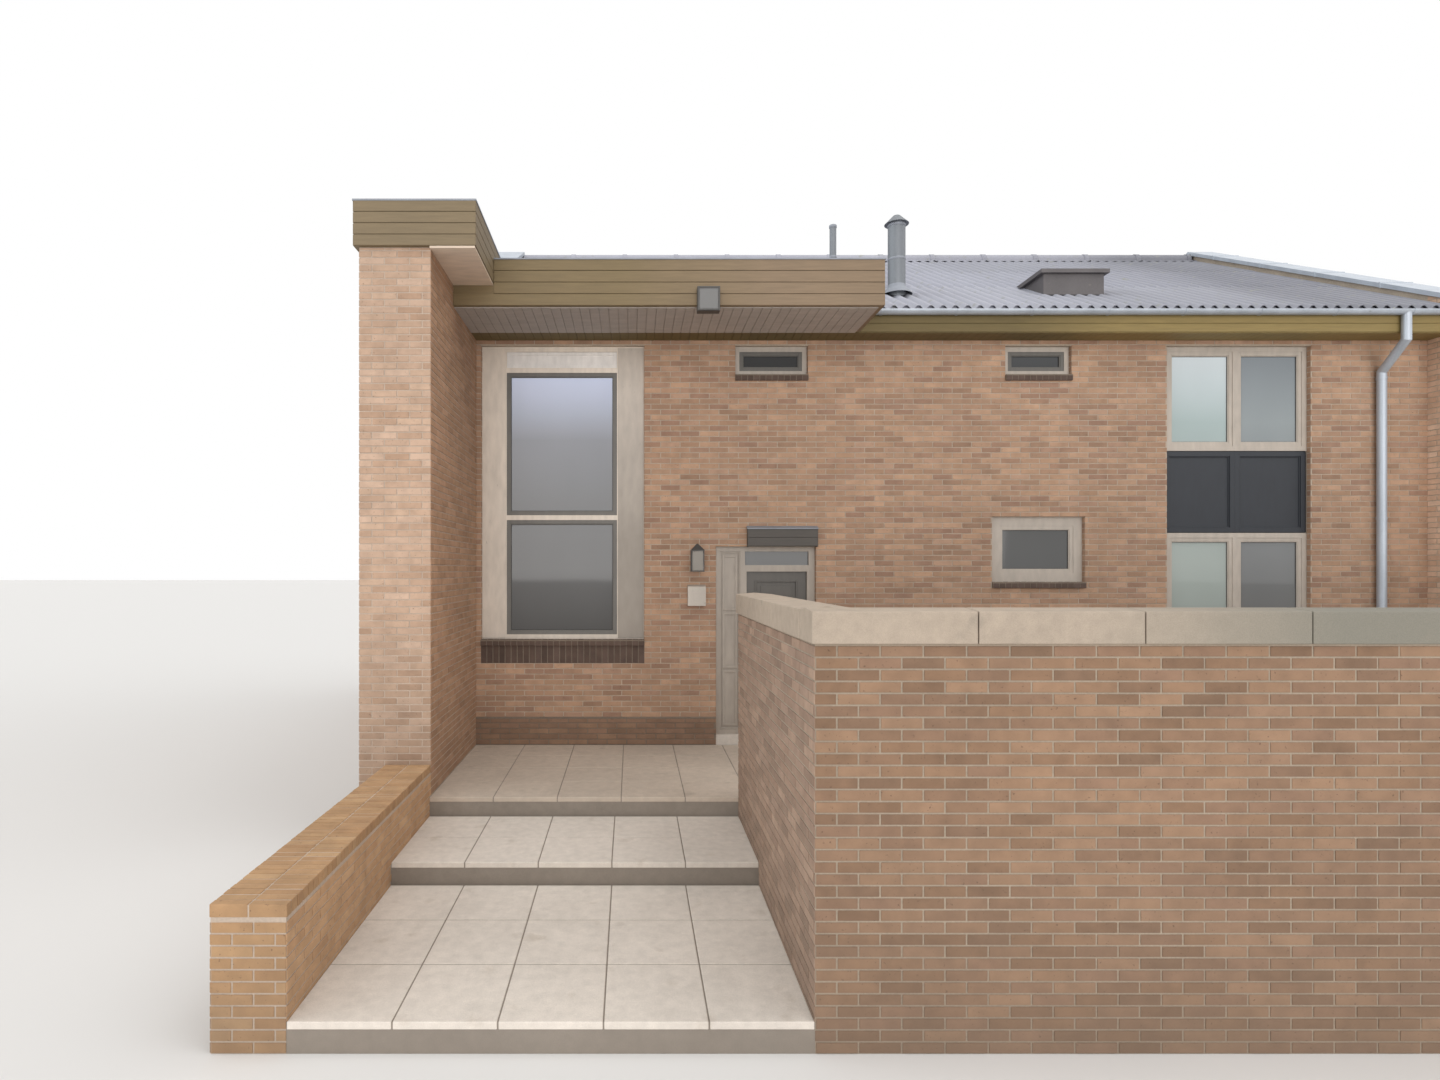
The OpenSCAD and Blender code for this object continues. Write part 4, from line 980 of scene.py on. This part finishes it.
# The boards beside and over the tall window, and the panel between the stacked lights
BOARD_IN, RAIL = 12, 60
m = Mesh()
for slot, (x0, x1) in enumerate(((TALL[0], TALL_X0), (TALL_X1, TALL[1]))):
    m.solid((x0 + BOARD_IN, REVEAL - 8, TALL[2] + SILL_H + 15),
            (x1 - BOARD_IN, REVEAL + 2, TOP_Z - 15), slot)
m.make("tall_window_boards", [LEFT_BOARD, RIGHT_BOARD], bevel=0.003)
m = Mesh()
ring_of(m, TALL_X0 + 2, TALL_X1 - 2, TALL_LIGHTS[1][1] + FRAME_W + 2, TOP_Z - FRAME_W - 2, 40,
        REVEAL + 12, REVEAL + 26)
m.make("head_board_beads", HEAD_BOARD, bevel=0.002)
m = Mesh()
z0, z1 = STACK_LIGHTS[0][1] + 8, STACK_LIGHTS[1][0] - 8
for a, b in units(STACK[0] + 8, STACK[1] - 8, 880):
    ring_of(m, a, b, z0, z1, RAIL, REVEAL + 4, REVEAL + 27)
    ring_of(m, a + RAIL, b - RAIL, z0 + RAIL, z1 - RAIL, 12, REVEAL + 14, REVEAL + 27)
m.make("spandrel_rails", PANEL, bevel=0.002)

# The front panes, each window with its own glass tone of painted reflection, and their faces behind
# the reveal
PANE_Y0, PANE_Y1 = 33, 57
STACK_MID_X = (STACK[0] + STACK[1]) / 2
TONES = [TALL_GLASS, LEFT_GLASS, DARK_GLASS, RIGHT_GLASS, SMALL_GLASS]
PANES = [(pane, TALL_GLASS) for pane in TALL_PANES]
PANES += [(pane, LEFT_GLASS if pane[0] < STACK_MID_X else RIGHT_GLASS) for pane in STACK_PANES]
PANES += [(pane, SMALL_GLASS) for pane in SMALL_PANES] + [(KITCHEN_PANE, DARK_GLASS)]
m = Mesh()
for (x0, x1, z0, z1), tone in PANES:
    m.solid((x0, REVEAL + PANE_Y0, z0), (x1, REVEAL + PANE_Y1, z1), TONES.index(tone))
m.make("front_panes", TONES, replaces=("front_window_glass",))

# Entrance door: mouldings round three raised panels, on its own body
STILE, TRANSOM_H, LOCK_Z = 130, 170, 860
LEAF_Z0, LEAF_Z1 = GROUND_Z + 8, DOOR_HEAD - 2 * FRAME_W - TRANSOM_H - 8
m = Mesh()
pitch = (LEAF_Z1 - LEAF_Z0 - STILE) / 3
for i in range(3):
    x0, x1 = LEAF_X0 + STILE, LEAF_X1 - STILE
    z0 = LEAF_Z0 + STILE + i * pitch
    z1 = z0 + pitch - STILE
    ring_of(m, x0 - 9, x1 + 9, z0 - 9, z1 + 9, 22, 90, 104)
    m.solid((x0 + 60, 101, z0 + 60), (x1 - 60, 113, z1 - 60))
m.make("door_mouldings", DOOR_PAINT, body="door", bevel=0.004)
m = Mesh()
m.turned((LEAF_X0 + 65, 100, LEAF_Z0 + LOCK_Z), [(0, -9), (17, -9), (19, -6), (19, 0)], 20, True)
m.make("door_lock", STEEL, body="door", smooth=True)

# Beads and rails on the fixed side panel, and the boards of the hood over the door
m = Mesh()
ring_of(m, SIDE_X0, SIDE_X1, GROUND_Z + FRAME_W, DOOR_HEAD - FRAME_W, 18, REVEAL + 12, REVEAL + 32)
for a, b in units(GROUND_Z + 90, DOOR_HEAD - 90, 720):
    ring_of(m, SIDE_X0 + 30, SIDE_X1 - 30, a + 12, b - 12, 30, REVEAL + 18, REVEAL + 31)
m.make("side_panel_beads", DOOR_JOINERY, bevel=0.003)
HOOD_X0, HOOD_Y = 4028, -60
m = Mesh()
for a, b in units(DOOR_HEAD + 4, DOOR_HEAD + 214, 105):
    m.solid((HOOD_X0, HOOD_Y - 12, a + 2), (DOOR_X1 + 2, HOOD_Y, b - 2))
for x in (HOOD_X0 - 4, DOOR_X1 - 2):
    m.solid((x, HOOD_Y - 14, DOOR_HEAD - 6), (x + 10, -2, DOOR_HEAD + 218))
m.make("door_hood_boards", HOOD, bevel=0.003)
m = Mesh()
profile = [(2, 251), (-80, 219), (-80, 212), (-84, 212), (-84, 222), (2, 256)]
m.prism([(y, DOOR_HEAD + z) for y, z in profile], HOOD_X0 - 10, DOOR_X1 + 12)
m.make("door_hood_flashing", LEAD)

# The wall lantern: bracket, four posts between two plates, glass box, hat and finial
LAMP_X, LAMP_Y, LAMP_Z = 3400, -170, LAND_Z + 2270
LAMP_HALF_H, PLATE_HALF, PLATE_H, POST_AT = 130, 80, 12, 72
HAT_Z, HAT_TOP = 204, 12
CORNERS = ((-1, -1), (1, -1), (1, 1), (-1, 1))


def lamp_box(mesh, half, z0, z1, x=LAMP_X, y=LAMP_Y, slot=0):
    """An upright square box, its height measured from the lantern's middle."""
    mesh.solid((x - half, y - half, LAMP_Z + z0), (x + half, y + half, LAMP_Z + z1), slot)


m = Mesh()
m.solid((LAMP_X - 45, -12, LAMP_Z - 85), (LAMP_X + 45, 0, LAMP_Z + 85))
m.solid((LAMP_X - 8, -92, LAMP_Z + 30), (LAMP_X + 8, -10, LAMP_Z + 46))
for dx, dy in CORNERS:
    lamp_box(m, 6, -LAMP_HALF_H, LAMP_HALF_H, LAMP_X + dx * POST_AT, LAMP_Y + dy * POST_AT)
for z in (-LAMP_HALF_H, LAMP_HALF_H - PLATE_H):
    lamp_box(m, PLATE_HALF, z, z + PLATE_H)
lamp_box(m, 68, PLATE_H - LAMP_HALF_H, LAMP_HALF_H - PLATE_H, slot=1)
k = len(m.v)
for half, z in ((PLATE_HALF, LAMP_HALF_H), (HAT_TOP, HAT_Z)):
    m.v += [at(LAMP_X + dx * half, LAMP_Y + dy * half, LAMP_Z + z) for dx, dy in CORNERS]
for j in range(4):
    q = (j + 1) % 4
    m.face((k + j, k + q, k + 4 + q, k + 4 + j))
m.face(range(k + 4, k + 8))
m.turned((LAMP_X, LAMP_Y, LAMP_Z + HAT_Z), [(HAT_TOP, 0), (HAT_TOP, 2), (7, 5), (0, 6)], 12)
m.make("wall_lantern_box", [DARK_METAL, LAMP_GLASS], bevel=0.002,
       replaces=("wall_lantern",))

# The rim and glass of the floodlight in front of the canopy's fascia
LIGHT_X, LIGHT_Y, LIGHT_Z, LIGHT_W, LIGHT_H = 3300, CAN_Y - 120, SOFFIT_Z - 87, 240, 260
m = Mesh()
ring_of(m, LIGHT_X + 4, LIGHT_X + LIGHT_W - 4, LIGHT_Z + 4, LIGHT_Z + LIGHT_H - 4, 18,
        LIGHT_Y, LIGHT_Y + 12)
m.solid((LIGHT_X + 20, LIGHT_Y + 7, LIGHT_Z + 20),
        (LIGHT_X + LIGHT_W - 20, LIGHT_Y + 11, LIGHT_Z + LIGHT_H - 20), 1)
m.make("floodlight_rim", [DARK_METAL, DARK_GLASS], bevel=0.003)

# Flashings, upper collars and middle bands on the two roof pipes
m = Mesh()
for x, y, r, high in ((6040, 500, 110, 950), (5340, 1000, 45, 900)):
    z = top_z(y)
    m.turned((x, y, z), [(r + 85, 30), (r + 60, 75), (r + 6, 125), (r + 1, 160)], 28)
    m.turned((x, y, z + high - 40), [(r + 1, 0), (r + 6, 4), (r + 6, 36), (r + 1, 40)], 28)
    m.turned((x, y, z + high * 0.5), [(r + 1, 0), (r + 4, 4), (r + 4, 26), (r + 1, 30)], 28)
m.make("pipe_flashings", LEAD, smooth=True)

# Stage, camera and light
bpy.ops.mesh.primitive_plane_add(size=400, location=(0, 0, -0.0005))
floor = bpy.context.object
floor.name = "stage_floor"
floor_paint = bpy.data.materials.new("stage_floor")
floor_paint.use_nodes = True
bsdf = floor_paint.node_tree.nodes["Principled BSDF"]
bsdf.inputs["Base Color"].default_value = (0.72, 0.71, 0.70, 1)
bsdf.inputs["Roughness"].default_value = 0.9
floor.data.materials.append(floor_paint)
floor.visible_shadow = False

# A dim warm world that the camera, reflections and clear glass see as white
world = bpy.data.worlds.new("studio")
bpy.context.scene.world = world
world.use_nodes = True
t = world.node_tree
dim = t.nodes["Background"]
dim.inputs[0].default_value = (1.0, 0.99, 0.975, 1)
dim.inputs[1].default_value = 0.42
white = t.nodes.new("ShaderNodeBackground")
white.inputs[0].default_value = (1, 1, 1, 1)
white.inputs[1].default_value = 1.0
path = t.nodes.new("ShaderNodeLightPath")
seen = path.outputs["Is Camera Ray"]
for ray in ("Is Glossy Ray", "Is Transmission Ray"):
    either = t.nodes.new("ShaderNodeMath")
    either.operation = "MAXIMUM"
    t.links.new(seen, either.inputs[0])
    t.links.new(path.outputs[ray], either.inputs[1])
    seen = either.outputs[0]
mix = t.nodes.new("ShaderNodeMixShader")
for i, socket in enumerate((seen, dim.outputs[0], white.outputs[0])):
    t.links.new(socket, mix.inputs[i])
t.links.new(mix.outputs[0], t.nodes["World Output"].inputs[0])


def place(name, data):
    """An object of this kind in the scene."""
    ob = bpy.data.objects.new(name, data)
    bpy.context.scene.collection.objects.link(ob)
    return ob


# Name, strength, spread, angle from straight down, turn to the left, colour
COOL, WARM = (0.92, 0.98, 1.0), (1.0, 0.98, 0.96)
for name, energy, spread, tilt, turn, colour in (
        ("left_sky", 1.40, 70, 68, -80, COOL), ("front_sky", 1.50, 50, 87, 0, WARM),
        ("right_sky", 1.00, 60, 47, 78, WARM), ("high_sky", 0.85, 60, 10, 0, WARM)):
    sun = bpy.data.lights.new(name, "SUN")
    sun.energy, sun.angle, sun.color = energy, math.radians(spread), colour
    place(name, sun).rotation_euler = (math.radians(tilt), 0, math.radians(turn))

lens = bpy.data.cameras.new("photo")
lens.lens, lens.sensor_width = 20.0, 36.0
lens.shift_x, lens.shift_y = 0.0618, 0.0208
lens.clip_end = 500
camera = place("photo", lens)
camera.location = (-3.796, -11.5725, 2.685)
camera.rotation_euler = (math.radians(90), 0, 0)
bpy.context.scene.camera = camera
bpy.context.scene.view_settings.view_transform = "Standard"
